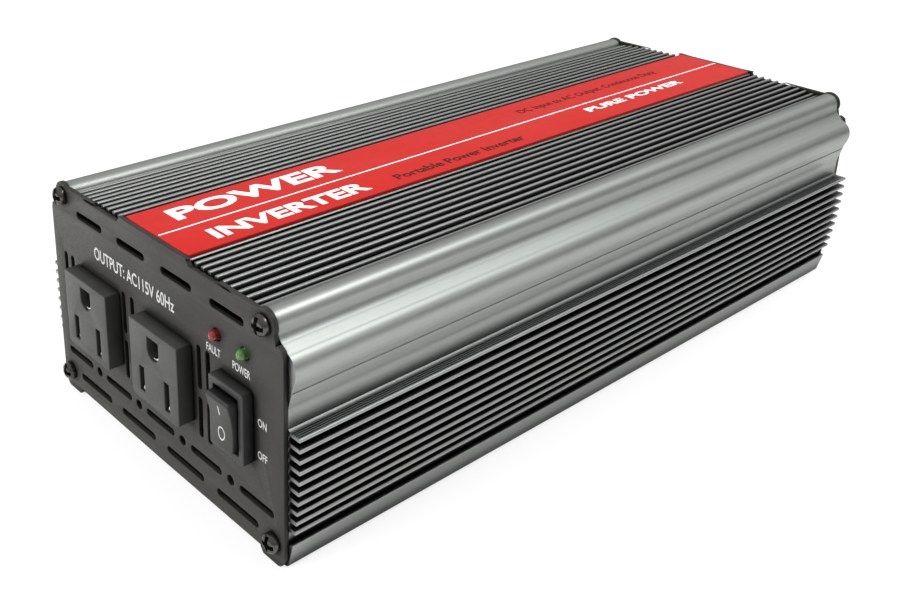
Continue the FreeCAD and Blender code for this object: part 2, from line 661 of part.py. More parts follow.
def outlet_contacts():
    outlets = ("outlet_left", "outlet_right")
    for name, side in (("line_contacts", "-"), ("neutral_contacts", "+")):
        pieces = [blade_contact(f"{name}{count}", f"({middle} {side} blade_half_gap)")
                  for count, middle in enumerate(outlets)]
        node(group(name, *pieces), name)
    grounds = [ground_contact(f"ground_contact{count}", middle) for count, middle in enumerate(outlets)]
    node(group("ground_contacts", *grounds), "ground_contacts")


# ---------------------------------------------------------------- switch and lights

PIVOT_Y = f"({FRONT} - 0.4)"


def switch_housing():
    """Bezel in front of the panel, hollow body behind it and the pivot pin across the middle."""
    proud = (f"{FRONT} - bezel_proud", FRONT)
    bezel = block("bezel_block", around("switch_x", "bezel_width"), proud, around("switch_z", "bezel_tall"))
    shell = block("switch_shell", around("switch_x", "bezel_width - 2"), (FRONT, f"{FRONT} + 15"),
                  around("switch_z", "bezel_tall - 2"))
    hollow = block("switch_hollow", around("switch_x", "rocker_width + 0.8"),
                   (f"{FRONT} - bezel_proud", f"{FRONT} + 12"), around("switch_z", "rocker_tall + 1.2"))
    casing = cut("switch_casing", fuse("switch_solid", bezel, shell), hollow)
    pin = rod("switch_pin", "pivot_radius", "rocker_width + 2.4", "switch_x - rocker_width / 2 - 1.2",
              PIVOT_Y, "switch_z", ALONG_X)
    for count, level in enumerate(("-5", "0", "5")):
        gap = block(f"terminal_gap{count}", around("switch_x", "5.4"), (f"{FRONT} + 11", f"{FRONT} + 16"),
                    around(f"switch_z + {level}", "1.2"))
        casing = cut(f"switch_gap{count}", casing, gap)
    node(fuse("switch_housing", casing, pin), "switch_housing")


def switch_rocker():
    """Rocker at rest in the off position: upper end furthest out, face hollow, belly tapering to the rear."""
    body = new_body("switch_rocker")
    side = new_sketch(body, "rocker_side", "YZ_Plane", "switch_x - rocker_width / 2")
    top = "switch_z + rocker_tall / 2"
    foot = "switch_z - rocker_tall / 2"
    hollow = f"{FRONT} - rocker_hollow"
    outline(side, ((f"{FRONT} - rocker_upper", f"{top} - 0.7"),
                   (f"{hollow} - 0.6", "switch_z + rocker_tall / 4"),
                   (hollow, "switch_z"), (f"{hollow} + 0.1", "switch_z - rocker_tall / 4"),
                   (f"{FRONT} - rocker_lower", f"{foot} + 0.4"),
                   (f"{FRONT} - rocker_lower + 1", f"{foot} + 0.2"),
                   (f"{FRONT} + rocker_belly / 2", "switch_z - rocker_tall / 4"),
                   (f"{FRONT} + rocker_belly", "switch_z - rocker_tall / 8"),
                   (f"{FRONT} + rocker_belly", "switch_z + rocker_tall / 8"),
                   (f"{FRONT} + rocker_belly / 2", "switch_z + rocker_tall / 4"),
                   (f"{FRONT} - rocker_upper + 3", f"{top} - 0.3"),
                   (f"{FRONT} - rocker_upper + 0.8", f"{top} - 0.2")))
    pad(body, side, "rocker_width", "rocker_pad")
    bore = new_sketch(body, "rocker_bore_sketch", "YZ_Plane", "switch_x")
    circle(bore, PIVOT_Y, "switch_z", "rocker_bore")
    pocket(body, bore, "rocker_pivot_bore", "rocker_width * 2")


def switch_terminals():
    depth = (f"{FRONT} + 11.2", f"{FRONT} + 23")
    pieces = [block(f"switch_terminal{count}", around("switch_x", "4.8"), depth,
                    around(f"switch_z + {level}", "0.8"))
              for count, level in enumerate(("-5", "0", "5"))]
    node(group("switch_terminals", *pieces), "switch_terminals")


def status_light(name, x):
    """Round lens with a domed end in front of the panel and a collar behind it."""
    barrel = rod(f"{name}_barrel", "led_radius", "8", x, f"{FRONT} - led_radius / 2", "led_z")
    collar = rod(f"{name}_collar", "led_radius + 0.4", "1", x, f"{FRONT} + 6", "led_z")
    dome = ball(f"{name}_dome", "led_radius", x, f"{FRONT} - led_radius / 2", "led_z")
    node(fuse(name, barrel, collar, dome), name)


def light_retainers():
    rings = [ring(f"light_retainer{count}", "led_radius + 1.4", "led_radius + 0.05", "3", x,
                  f"{FRONT_INNER} + 0.05", "led_z")
             for count, x in enumerate(("fault_led_x", "power_led_x"))]
    node(group("light_retainers", *rings), "light_retainers")


# ---------------------------------------------------------------- fan

FAN_FRONT = f"({REAR_INNER} - fan_depth - 0.1)"
BLADES = 7
BLADE_THICK, BLADE_CHORD = 1.1, 14.5
BLADE_PITCH = 50


def fan_frame():
    """Square frame with a round air passage, four struts, a motor plate and a bearing tube."""
    frame = block("fan_square", around("fan_x", "fan_size"), (FAN_FRONT, f"{REAR_INNER} - 0.1"),
                  around("fan_z", "fan_size"))
    passage = rod("fan_passage", "fan_bore", "fan_depth + 2", "fan_x", f"{FAN_FRONT} - 1", "fan_z")
    square = cut("fan_ring", frame, passage)
    for across in ("-", "+"):
        for up in ("-", "+"):
            hole = rod(f"fan_hole{len(doc.Objects)}", "1.95", "fan_depth + 2",
                       f"fan_x {across} fan_hole_half", f"{FAN_FRONT} - 1", f"fan_z {up} fan_hole_half")
            square = cut(f"fan_drilled{len(doc.Objects)}", square, hole)
    plate = rod("motor_plate", "hub_radius", "1.6", "fan_x", FAN_FRONT, "fan_z")
    tube = ring("bearing_tube", "3.2", "shaft_bore", "14", "fan_x", FAN_FRONT, "fan_z")
    plate_hole = rod("motor_plate_hole", "shaft_bore", "2", "fan_x", FAN_FRONT, "fan_z")
    wide = block("strut_wide", around("fan_x", "2 * fan_bore + 1"), (FAN_FRONT, f"{FAN_FRONT} + 1.6"),
                 around("fan_z", "3"))
    tall = block("strut_tall", around("fan_x", "3"), (FAN_FRONT, f"{FAN_FRONT} + 1.6"),
                 around("fan_z", "2 * fan_bore + 1"))
    spider = cut("fan_spider", fuse("fan_spider_solid", plate, wide, tall), plate_hole)
    node(fuse("fan_frame", square, spider, tube), "fan_frame")


def fan_rotor():
    """Cup-shaped hub on a shaft with pitched blades, its closed end towards the rear."""
    hub_y = f"({FAN_FRONT} + 2.4)"
    hub = rod("rotor_hub", "hub_radius", "15.6", "fan_x", hub_y, "fan_z")
    cup = rod("rotor_cup", "hub_radius - 1.6", "13.9", "fan_x", hub_y, "fan_z")
    shaft = rod("rotor_shaft", "shaft_radius", "15", "fan_x", f"{FAN_FRONT} + 1.5", "fan_z")
    pieces = [cut("rotor_shell", hub, cup), shaft]
    root = VECTOR(number("hub_radius") - 0.4, 0, 0)
    corner = VECTOR(0, -BLADE_THICK / 2, -BLADE_CHORD / 2)
    lean = FreeCAD.Rotation(VECTOR(1, 0, 0), BLADE_PITCH)
    for count in range(BLADES):
        blade = doc.addObject("Part::Box", f"rotor_blade{count}")
        bind(blade, Length="rotor_radius - hub_radius + 0.2", Width=BLADE_THICK, Height=BLADE_CHORD)
        around_axis = FreeCAD.Rotation(VECTOR(0, 1, 0), count * FULL_CIRCLE / BLADES)
        turn = around_axis.multiply(lean)
        offset = turn.multVec(corner) + around_axis.multVec(root)
        place(blade, f"fan_x + {offset.x}", f"{hub_y} + 8.2 + {offset.y}", f"fan_z + {offset.z}", turn)
        pieces.append(blade)
    node(fuse("fan_rotor", *pieces), "fan_rotor")


def fan_stator():
    """Laminated coil pack round the bearing tube, inside the rotor cup."""
    stack = ring("fan_stator", "hub_radius - 3.5", "3.3", "9", "fan_x", f"{FAN_FRONT} + 3.2", "fan_z")
    node(stack, "fan_stator")


def fan_guard():
    """Wire guard: concentric rings on a cross of two wires, with an eyelet at each corner screw."""
    rings = []
    for count, radius in enumerate(("8", "14.5", "21", "27.4")):
        loop = doc.addObject("Part::Torus", f"guard_ring{count}")
        bind(loop, Radius1=radius, Radius2="guard_wire")
        rings.append(place(loop, "fan_x", f"{REAR} + 2.6 * guard_wire", "fan_z", ALONG_Y))
    reach = "fan_hole_half * 1.41421"
    for count, angle in enumerate((45, 135)):
        direction = FreeCAD.Rotation(VECTOR(0, 1, 0), angle).multVec(VECTOR(1, 0, 0))
        turn = FreeCAD.Rotation(VECTOR(0, 0, 1), direction)
        rings.append(rod(f"guard_wire{count}", "guard_wire", f"2 * ({reach}) - 4",
                         f"fan_x - {direction.x} * ({reach} - 2)", f"{REAR} + guard_wire + 0.05",
                         f"fan_z - {direction.z} * ({reach} - 2)", turn))
    for across in ("-", "+"):
        for up in ("-", "+"):
            eyelet = ring(f"guard_eyelet{len(doc.Objects)}", "3.6", "2.1", "1.4",
                          f"fan_x {across} fan_hole_half", f"{REAR} + 0.05", f"fan_z {up} fan_hole_half")
            rings.append(eyelet)
    node(fuse("fan_guard", *rings, refine=False), "fan_guard")


def fan_screws():
    screws = []
    for across in ("-", "+"):
        for up in ("-", "+"):
            tag = f"fan_screw{len(screws)}"
            x, z = f"fan_x {across} fan_hole_half", f"fan_z {up} fan_hole_half"
            head = rod(f"{tag}_head", "fan_screw_head", "2", x, f"{REAR} + 1.6", z)
            shank = rod(f"{tag}_shank", "1.8", "16.2", x, f"{REAR} - 14.4", z)
            recess_y = (f"{REAR} + 2.3", f"{REAR} + 4")
            wide = block(f"{tag}_wide", around(x, "recess_length"), recess_y, around(z, "recess_width"))
            tall = block(f"{tag}_tall", around(x, "recess_width"), recess_y, around(z, "recess_length"))
            screws.append(cut(tag, fuse(f"{tag}_solid", head, shank), wide, tall))
    node(group("fan_screws", *screws), "fan_screws")


# ---------------------------------------------------------------- DC terminals

COLLAR_Y = f"({REAR} + 4)"
WASHER_Y = f"({REAR} + 7.05)"
KNOB_Y = f"({REAR} + 8.6)"


def hexagon(name, across_flats, length, x, y, z):
    prism = doc.addObject("Part::Prism", name)
    prism.Polygon = 6
    bind(prism, Circumradius=f"({across_flats}) / 1.7320508", Height=length)
    return place(prism, x, y, z, ALONG_Y)


def dc_terminal(name, x):
    """Post through an insulating bush, held by an inner lock nut; a washer and a hand knob clamp the lug."""
    post = rod(f"{name}_rod", "post_radius", "post_length", x, f"{REAR} - 18", "post_z")
    collar = hexagon(f"{name}_collar", "13", "3", x, COLLAR_Y, "post_z")
    node(fuse(f"{name}_post", post, collar), f"{name}_post")

    flange = rod(f"{name}_flange", "bush_flange", "3.9", x, f"{REAR} + 0.05", "post_z")
    neck = rod(f"{name}_neck", "7", "4.5", x, f"{REAR} - 4.4", "post_z")
    bush_hole = rod(f"{name}_bush_hole", "post_radius + 0.05", "12", x, f"{REAR} - 6", "post_z")
    node(cut(f"{name}_bush", fuse(f"{name}_bush_solid", flange, neck), bush_hole), f"{name}_bush")

    nut = hexagon(f"{name}_nut_hex", "12", "6", x, f"{REAR} - 12", "post_z")
    nut_hole = rod(f"{name}_nut_hole", "post_radius + 0.05", "8", x, f"{REAR} - 13", "post_z")
    node(cut(f"{name}_lock_nut", nut, nut_hole), f"{name}_lock_nut")

    washer = ring(f"{name}_clamp_washer", "7.6", "knob_bore", "1.5", x, WASHER_Y, "post_z")
    node(washer, f"{name}_clamp_washer")
    terminal_knob(f"{name}_knob", x)


def terminal_knob(name, x):
    """Fluted hand knob, drawn round its own axis at the origin and then placed on the post."""
    body = new_body(name)
    side = new_sketch(body, f"{name}_side", "YZ_Plane")
    outline(side, (("0", "0"), ("0", "knob_radius - 1.6"), ("1.4", "knob_radius"),
                   ("knob_length - 2.2", "knob_radius"), ("knob_length - 0.6", "knob_radius - 1.5"),
                   ("knob_length", "knob_radius - 3.5"),
                   ("knob_length", "0")))
    turned = body.newObject("PartDesign::Revolution", f"{name}_turned")
    turned.Profile = side
    turned.ReferenceAxis = (side, ["H_Axis"])
    turned.Angle = FULL_CIRCLE
    body.Tip = turned
    bore = new_sketch(body, f"{name}_bore", "XZ_Plane")
    circle(bore, "0", "0", "knob_bore")
    pocket(body, bore, f"{name}_thread", "4 * knob_length")
    flute = new_sketch(body, f"{name}_flute", "XZ_Plane")
    circle(flute, "knob_radius + 0.9", "0", "1.8")
    first = pocket(body, flute, f"{name}_flute_cut", "4 * knob_length")
    polar(body, [first], "Y_Axis", 12, f"{name}_flutes")
    place(body, x, KNOB_Y, "post_z")


def ground_terminal():
    """Chassis ground: stud with an inner head, and a nut with its washer outside."""
    stud = rod("ground_rod", "2.5", "18", "post_middle", f"{REAR} - 5", "14")
    head = hexagon("ground_head", "8", "3.4", "post_middle", f"{REAR} - 5", "14")
    node(fuse("ground_stud", stud, head), "ground_stud")
    node(ring("ground_washer", "5", "2.6", "1", "post_middle", f"{REAR} + 0.05", "14"), "ground_washer")
    nut = hexagon("ground_nut_hex", "8", "4", "post_middle", f"{REAR} + 1.1", "14")
    hole = rod("ground_nut_hole", "2.56", "6", "post_middle", f"{REAR} + 1", "14")
    node(cut("ground_nut", nut, hole), "ground_nut")


# ---------------------------------------------------------------- electronics

BOARD_TOP = "(board_bottom + board_thick)"
BOARD_JOINT = f"{BOARD_TOP} + 0.1"
LEG_PITCH = 2.54
ROW_LENGTH = ("-68", "60")
STANDOFF_SPOTS = [(x, y) for x in ("-44", "44") for y in ("-104", "-12", "80")]


def main_board():
    body = new_body("main_board")
    sketch = new_sketch(body, "board_outline", "XY_Plane", "board_bottom")
    rectangle(sketch, "0", "(board_front + board_back) / 2", "2 * board_half_width",
              "board_back - board_front")
    for x, y in STANDOFF_SPOTS:
        circle(sketch, x, y, "1.7")
    pad(body, sketch, "board_thick", "board_pad")


def board_mounting():
    upright = FreeCAD.Rotation()
    spacers = []
    screws = []
    for count, (x, y) in enumerate(STANDOFF_SPOTS):
        spacers.append(ring(f"standoff{count}", "3.2", "1.6", "board_bottom - floor_top", x, y,
                            "floor_top", upright))
        head = rod(f"board_screw_head{count}", "2.8", "2", x, y, BOARD_TOP, upright)
        shank = rod(f"board_screw_shank{count}", "1.5", "6", x, y, f"{BOARD_TOP} - 6", upright)
        screws.append(fuse(f"board_screw{count}", head, shank))
    node(group("board_standoffs", *spacers), "board_standoffs")
    node(group("board_screws", *screws), "board_screws")


def can(name, radius, height, x, y):
    return rod(name, radius, height, x, y, BOARD_TOP, FreeCAD.Rotation())


def capacitors():
    inputs = [can(f"input_can{column}{line}", "8", "26", str(-30 + 20 * column), str(50 + 20 * line))
              for column in range(3) for line in range(2)]
    node(group("input_capacitors", *inputs), "input_capacitors")
    outputs = [can(f"output_can{count}", "11", "42", x, "-66") for count, x in enumerate(("-28", "-3"))]
    node(group("output_capacitors", *outputs), "output_capacitors")


def transformers():
    """Three upright cores in a row, each with a bobbin winding round its middle leg."""
    cores = []
    windings = []
    for count, y in enumerate(("28", "-6", "-40")):
        height = (BOARD_TOP, f"{BOARD_TOP} + 32")
        frame = block(f"core_frame{count}", around("0", "42"), around(y, "12"), height)
        windows = [block(f"core_window{count}_{half}", around(middle, "10"), around(y, "14"),
                         (f"{BOARD_TOP} + 6", f"{BOARD_TOP} + 26"))
                   for half, middle in enumerate(("-11", "11"))]
        cores.append(cut(f"core{count}", frame, *windows))
        coil = block(f"coil_block{count}", around("0", "31"), around(y, "27"),
                     (f"{BOARD_TOP} + 6.3", f"{BOARD_TOP} + 25.7"))
        leg = block(f"coil_leg{count}", around("0", "12.4"), around(y, "12.4"), height)
        windings.append(cut(f"coil{count}", coil, leg))
    node(group("transformer_cores", *cores), "transformer_cores")
    node(group("transformer_windings", *windings), "transformer_windings")


def transistor(name, x, direction, y):
    """Flat package against the side wall with three legs down to the board."""
    body = block(f"{name}_package", around(x, "4.4"), around(y, "10"),
                 (f"{BOARD_TOP} + 5", f"{BOARD_TOP} + 21"))
    legs = [block(f"{name}_leg{index}", around(f"{x} - {direction}", "0.6"),
                  around(f"{y} + {LEG_PITCH * (index - 1)}", "0.8"), (BOARD_TOP, f"{BOARD_TOP} + 5"))
            for index in range(3)]
    return fuse(name, body, *legs)


def power_stage():
    """Transistor rows clamped against both side walls through insulating pads."""
    for name, direction in (("low_side_transistors", -1), ("high_side_transistors", 1)):
        face = f"{direction} * (wall_outer - wall_thick"
        row_parts = [transistor(f"{name}{count}", f"{face} - 2.7)", direction, str(-60 + 14 * count))
                     for count in range(9)]
        node(group(name, *row_parts), name)
    pads = [block(f"insulating_pad{count}", around(f"{side} * (wall_outer - wall_thick - 0.2)", "0.3"),
                  ROW_LENGTH, (f"{BOARD_TOP} + 3", f"{BOARD_TOP} + 23"))
            for count, side in enumerate((-1, 1))]
    node(group("insulating_pads", *pads), "insulating_pads")
    bars = [block(f"clamp_bar{count}", around(f"{side} * (wall_outer - wall_thick - 6.6)", "3"), ROW_LENGTH,
                  (f"{BOARD_TOP} + 10", f"{BOARD_TOP} + 16"))
            for count, side in enumerate((-1, 1))]
    node(group("clamp_bars", *bars), "clamp_bars")


def choke_torus(name, thickness):
    """A ring lying flat over the board at the choke's place."""
    torus = doc.addObject("Part::Torus", name)
    bind(torus, Radius1="choke_radius", Radius2=thickness)
    return place(torus, "choke_x", "choke_y", f"{BOARD_TOP} + 5.4")


def choke():
    """Toroid core with a winding that leaves one side open."""
    node(choke_torus("choke_core_ring", "3.6"), "choke_core")
    gap = block("choke_gap", ("choke_x", "choke_x + 18"), around("choke_y", "6"),
                (BOARD_TOP, f"{BOARD_TOP} + 12"))
    wrap = choke_torus("choke_wrap", "5.2")
    node(cut("choke_winding", wrap, choke_torus("choke_room", "3.7"), gap), "choke_winding")


def small_parts():
    fuses = [block(f"fuse{count}", around("36", "18"), around(str(46 + 9 * count), "5"),
                   (BOARD_TOP, f"{BOARD_TOP} + 13"))
             for count in range(4)]
    node(group("blade_fuses", *fuses), "blade_fuses")
    choke()
    node(can("buzzer", "6", "9", "38", "-92"), "buzzer")
    card = block("control_card", around("20", "44"), around("card_y", "board_thick"),
                 (f"{BOARD_TOP} + 2.6", f"{BOARD_TOP} + 30"))
    node(card, "control_board")
    header = block("control_header_bar", around("20", "40"), around("card_y", "2.5"),
                   (BOARD_TOP, f"{BOARD_TOP} + 2.5"))
    node(header, "control_header")


def cable(name, radius, points):
    """Round cable along a polyline with rounded bends; its path is read from the sheet."""
    corners = [VECTOR(*(number(text) for text in point)) for point in points]
    edges = [Part.makeLine(start, end) for start, end in zip(corners, corners[1:])]
    path = Part.Wire(edges)
    section = Part.Wire([Part.makeCircle(radius, corners[0], corners[1] - corners[0])])
    sweep = Part.BRepOffsetAPI.MakePipeShell(path)
    sweep.add(section)
    sweep.setTransitionMode(2)
    sweep.build()
    sweep.makeSolid()
    feature = doc.addObject("Part::Feature", name)
    feature.Shape = sweep.shape()
    return feature


def input_cables():
    start_y = f"{REAR} - 18.4"
    for name, sign, spot in (("positive_cable", "-", "12"), ("negative_cable", "+", "46")):
        post = f"post_middle {sign} post_spacing_half"
        lead = cable(name, 3, ((post, start_y, "post_z"), (post, "100", "post_z"),
                               (spot, "84", f"{BOARD_TOP} + 4"), (spot, "83.9", BOARD_JOINT)))
        node(lead, name)


def drop_lead(name, radius, x, z, start_y, bend_y, foot_y):
    """A lead that leaves straight to the rear and then drops to the board."""
    return cable(name, radius, ((x, start_y, z), (x, bend_y, z), (x, foot_y, BOARD_JOINT)))


def panel_wiring():
    """Leads from the outlets, the switch and the lights to the board."""
    outlets = ("outlet_left", "outlet_right")
    blades = [f"{middle} {side} blade_half_gap" for middle in outlets for side in ("-", "+")]
    tab_end = f"{CONTACT_BACK} + 7.1"
    leads = [drop_lead(f"outlet_lead{count}", 1.2, x, "outlet_height - blade_drop", tab_end,
                       f"{CONTACT_BACK} + 11.1", f"{CONTACT_BACK} + 13.1")
             for count, x in enumerate(blades)]
    node(group("outlet_leads", *leads), "outlet_leads")
    grounds = [drop_lead(f"ground_lead{count}", 1.2, middle, "outlet_height + ground_rise", tab_end,
                         f"{CONTACT_BACK} + 10", f"{CONTACT_BACK} + 12")
               for count, middle in enumerate(outlets)]
    node(group("ground_leads", *grounds), "ground_leads")
    lights = [drop_lead(f"light_lead{count}", 0.7, x, "led_z", f"{FRONT} + 8.1", f"{FRONT} + {run}",
                        f"{FRONT} + {run}")
              for count, (x, run) in enumerate((("fault_led_x", "30"), ("power_led_x + 6", "34")))]
    node(group("light_leads", *lights), "light_leads")
    switch = []
    for count, (level, run) in enumerate((("-5", "30"), ("0", "33"), ("5", "36"))):
        switch.append(drop_lead(f"switch_lead{count}", 0.9, "switch_x", f"switch_z + {level}",
                                f"{FRONT} + 23.1", f"{FRONT} + {run}", f"{FRONT} + {run}"))
    node(group("switch_leads", *switch), "switch_leads")


def fan_wiring():
    x = "fan_x + 24"
    lead = cable("fan_lead", 1, ((x, f"{FAN_FRONT} - 0.2", "fan_z - 20"), (x, "98", "fan_z - 20"),
                                 (x, "86", f"{BOARD_TOP} + 3"), (x, "85.9", BOARD_JOINT)))
    node(lead, "fan_lead")


# ---------------------------------------------------------------- build and export

def build():
    base_shell()
    top_shell()
    front_panel()
    rear_panel()
    label_plate()
    corner_screws("front_screws", -1)
    corner_screws("rear_screws", 1)
    outlet_housing("outlet_housing_left", "outlet_left")
    outlet_housing("outlet_housing_right", "outlet_right")
    outlet_contacts()
    switch_housing()
    switch_rocker()
    switch_terminals()
    status_light("fault_light", "fault_led_x")
    status_light("power_light", "power_led_x")
    light_retainers()
    fan_frame()
    fan_rotor()
    fan_stator()
    fan_guard()
    fan_screws()
    dc_terminal("positive", "(post_middle - post_spacing_half)")
    dc_terminal("negative", "(post_middle + post_spacing_half)")
    ground_terminal()
    main_board()
    board_mounting()
    capacitors()
    transformers()
    power_stage()
    small_parts()
    input_cables()
    panel_wiring()
    fan_wiring()


def check():
    doc.recompute()
    for obj in doc.Objects:
        if "Invalid" in obj.State or "Error" in obj.State:
            raise RuntimeError(f"{obj.Name} failed: {obj.State}")
    for name, obj in sub_parts.items():
        if obj.Shape.isNull() or not obj.Shape.isValid():
            raise RuntimeError(f"{name} has no valid shape")


def export():
    os.makedirs("parts", exist_ok=True)
    for name, obj in sub_parts.items():
        obj.Shape.exportStep(f"parts/{name}.step")
    print(len(sub_parts), "parts written")


build()
check()
export()
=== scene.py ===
"""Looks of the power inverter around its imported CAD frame: metres, Z up, outlet panel towards -Y."""

import json
import math

import bmesh
import bpy
from mathutils import Matrix, Vector
from mathutils.geometry import tessellate_polygon


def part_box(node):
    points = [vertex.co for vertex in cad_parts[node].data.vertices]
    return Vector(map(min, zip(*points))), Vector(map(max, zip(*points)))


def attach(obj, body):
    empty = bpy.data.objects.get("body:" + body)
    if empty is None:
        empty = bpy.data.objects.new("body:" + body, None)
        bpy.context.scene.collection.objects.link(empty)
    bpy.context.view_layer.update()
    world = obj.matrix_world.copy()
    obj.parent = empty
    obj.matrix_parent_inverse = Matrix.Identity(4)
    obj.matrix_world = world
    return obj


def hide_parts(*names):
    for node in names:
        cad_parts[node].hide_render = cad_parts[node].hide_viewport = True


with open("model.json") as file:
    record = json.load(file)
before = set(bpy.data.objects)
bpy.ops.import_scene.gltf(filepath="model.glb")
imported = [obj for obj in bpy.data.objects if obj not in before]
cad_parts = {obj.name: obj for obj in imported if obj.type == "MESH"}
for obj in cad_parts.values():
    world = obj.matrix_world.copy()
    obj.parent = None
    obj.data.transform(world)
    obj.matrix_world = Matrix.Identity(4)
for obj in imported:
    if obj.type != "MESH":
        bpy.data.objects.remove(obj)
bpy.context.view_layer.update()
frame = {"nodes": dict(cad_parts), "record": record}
MM = 0.001

# ---- places read from the frame, in millimetres


def box_mm(name):
    low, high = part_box(name)
    return low / MM, high / MM


def middle_of(name):
    """Middle of a node in X and Z, as seen from either end panel."""
    low, high = box_mm(name)
    return (low.x + high.x) / 2, (low.z + high.z) / 2


panel_low, panel_high = box_mm("front_panel")
rear_low, rear_high = box_mm("rear_panel")
label_low, label_high = box_mm("label_plate")
outlet_low, outlet_high = box_mm("outlet_housing_left")
switch_low, switch_high = box_mm("switch_housing")
rocker_low, rocker_high = box_mm("switch_rocker")
FRONT = panel_low.y
FRONT_INNER = panel_high.y
REAR_INNER = rear_low.y
REAR = rear_high.y
SEAM = box_mm("base_shell")[1].z
LABEL_TOP = label_high.z
OUTLETS = {side: middle_of(f"outlet_housing_{side}")[0] for side in ("left", "right")}
OUTLET_Z = middle_of("outlet_housing_left")[1]
SWITCH_X, SWITCH_Z = middle_of("switch_housing")
LIGHTS = {light: middle_of(light) for light in ("fault_light", "power_light")}
FAN_X, FAN_Z = middle_of("fan_frame")
POSTS = {pole: middle_of(f"{pole}_post") for pole in ("positive", "negative")}
GROUND = middle_of("ground_washer")
BODIES = frame["record"]["behaviour"]["bodies"]
KNOB_BODIES = {pole: next(body for body in BODIES if f"{pole}_knob" in BODIES[body]) for pole in POSTS}

# ---- driving sizes of the case, in millimetres

WALL_OUTER = 57.8
WALL_THICK = 2.3
FLOOR_BOTTOM, FLOOR_TOP = 2.0, 4.5
SIDE_FINS = 10
SIDE_FIN_FIRST, SIDE_FIN_PITCH, SIDE_FIN_THICK = 12.8, 3.2, 1.15
SIDE_FIN_REACH, SIDE_FIN_BELLY, SIDE_FIN_SAG = 62.6, 37.2, 0.0035
FIN_NOSE = 0.5
GROOVES, GROOVE_DEPTH = 4, 0.8
TOP_FINS = 9
TOP_FIN_FIRST, TOP_FIN_PITCH, TOP_FIN_THICK = 19.3, 3.0625, 1.7
TOP_FIN_PEAK, TOP_FIN_DROP = 73.1, 0.0023
PLATE_BOTTOM, PLATE_TOP = 67.0, 69.3
LAND_HALF_WIDTH = 16.85
UPPER_SCREW = (50.3, 69.1)
LOWER_SCREW = (53.4, 7.0)
CHANNEL_RADIUS = 3.85
END_CHAMFER = 0.05


# ---- outlines

def arc(x, z, radius, start, end, steps=8):
    """Points on a circle from angle start to angle end, in degrees."""
    angles = [math.radians(start + (end - start) * index / steps) for index in range(steps + 1)]
    return [(x + radius * math.cos(angle), z + radius * math.sin(angle)) for angle in angles]


def rounded(corners, radius, steps=5):
    """The outline with every corner replaced by a tangent arc; radius is one size or one per corner."""
    points = []
    count = len(corners)
    for index, corner in enumerate(corners):
        size = radius[index] if isinstance(radius, (list, tuple)) else radius
        here = Vector(corner)
        before = Vector(corners[index - 1]) - here
        after = Vector(corners[(index + 1) % count]) - here
        if size <= 0:
            points.append(tuple(here))
            continue
        half_angle = before.angle(after) / 2
        reach = min(size / math.tan(half_angle), before.length * 0.48, after.length * 0.48)
        start = here + before.normalized() * reach
        end = here + after.normalized() * reach
        for step in range(steps + 1):
            blend = step / steps
            points.append(tuple(start * (1 - blend) ** 2 + here * 2 * blend * (1 - blend) + end * blend ** 2))
    return points


def rectangle(x, z, width, height, radius=0.0, steps=5):
    """Corners, sharp or rounded, in the order low left, low right, high right, high left."""
    low_x, high_x = x - width / 2, x + width / 2
    low_z, high_z = z - height / 2, z + height / 2
    return rounded([(low_x, low_z), (high_x, low_z), (high_x, high_z), (low_x, high_z)], radius, steps)


def circle(x, z, radius, steps=32):
    return arc(x, z, radius, 0, 360, steps)[:-1]


def slot(x, z, length, half_height, upright=False):
    """An opening with round ends, lying or upright."""
    reach = length / 2 - half_height
    if upright:
        return arc(x, z + reach, half_height, 0, 180) + arc(x, z - reach, half_height, 180, 360)
    return arc(x + reach, z, half_height, -90, 90) + arc(x - reach, z, half_height, 90, 270)


def base_shell_half():
    """Right half of the lower extrusion's section, from the floor's middle round to the inner floor."""
    points = [(0, FLOOR_BOTTOM)]
    points += rounded([(47.8, FLOOR_BOTTOM), (48.7, 0.0), (54.6, 0.0), (57.6, 0.6), (59.5, 8.3), (58.4, 8.3),
                       (57.2, 7.0)], [0.3, 0.5, 1.5, 1.6, 0.35, 0.3, 0.4], 4)
    points.append((WALL_OUTER, 10.2))
    for index in range(SIDE_FINS):
        level = SIDE_FIN_FIRST + index * SIDE_FIN_PITCH
        tip = SIDE_FIN_REACH - SIDE_FIN_SAG * (level - SIDE_FIN_BELLY) ** 2
        foot, top = level - SIDE_FIN_THICK / 2, level + SIDE_FIN_THICK / 2
        points += [(WALL_OUTER + 0.35, foot - 0.12), (WALL_OUTER + 0.9, foot)]
        points += arc(tip - FIN_NOSE, foot + FIN_NOSE, FIN_NOSE, -90, 0, 4)
        points += arc(tip - FIN_NOSE, top - FIN_NOSE, FIN_NOSE, 0, 90, 4)
        if index == SIDE_FINS - 1:
            points += fine_grooves(tip - 0.8, WALL_OUTER + 0.9, top)
        points += [(WALL_OUTER + 0.9, top), (WALL_OUTER + 0.35, top + 0.12), (WALL_OUTER, top + 0.45)]
    points += rounded([(WALL_OUTER, SEAM - 8.5), (WALL_OUTER, SEAM - 5.0), (59.15, SEAM - 0.2)],
                      [0.0, 6.0, 0.0], 6)
    points.append((59.0, SEAM))
    inner = WALL_OUTER - WALL_THICK
    points += [(inner, SEAM), (inner, FLOOR_TOP), (0, FLOOR_TOP)]
    return points


def fine_grooves(start_x, end_x, level):
    """Small V grooves on the flat top of the uppermost side fin."""
    points = []
    pitch = (start_x - end_x) / GROOVES
    for index in range(GROOVES):
        left = start_x - index * pitch
        points += [(left, level), (left - pitch * 0.25, level - GROOVE_DEPTH), (left - pitch * 0.5, level)]
    return points


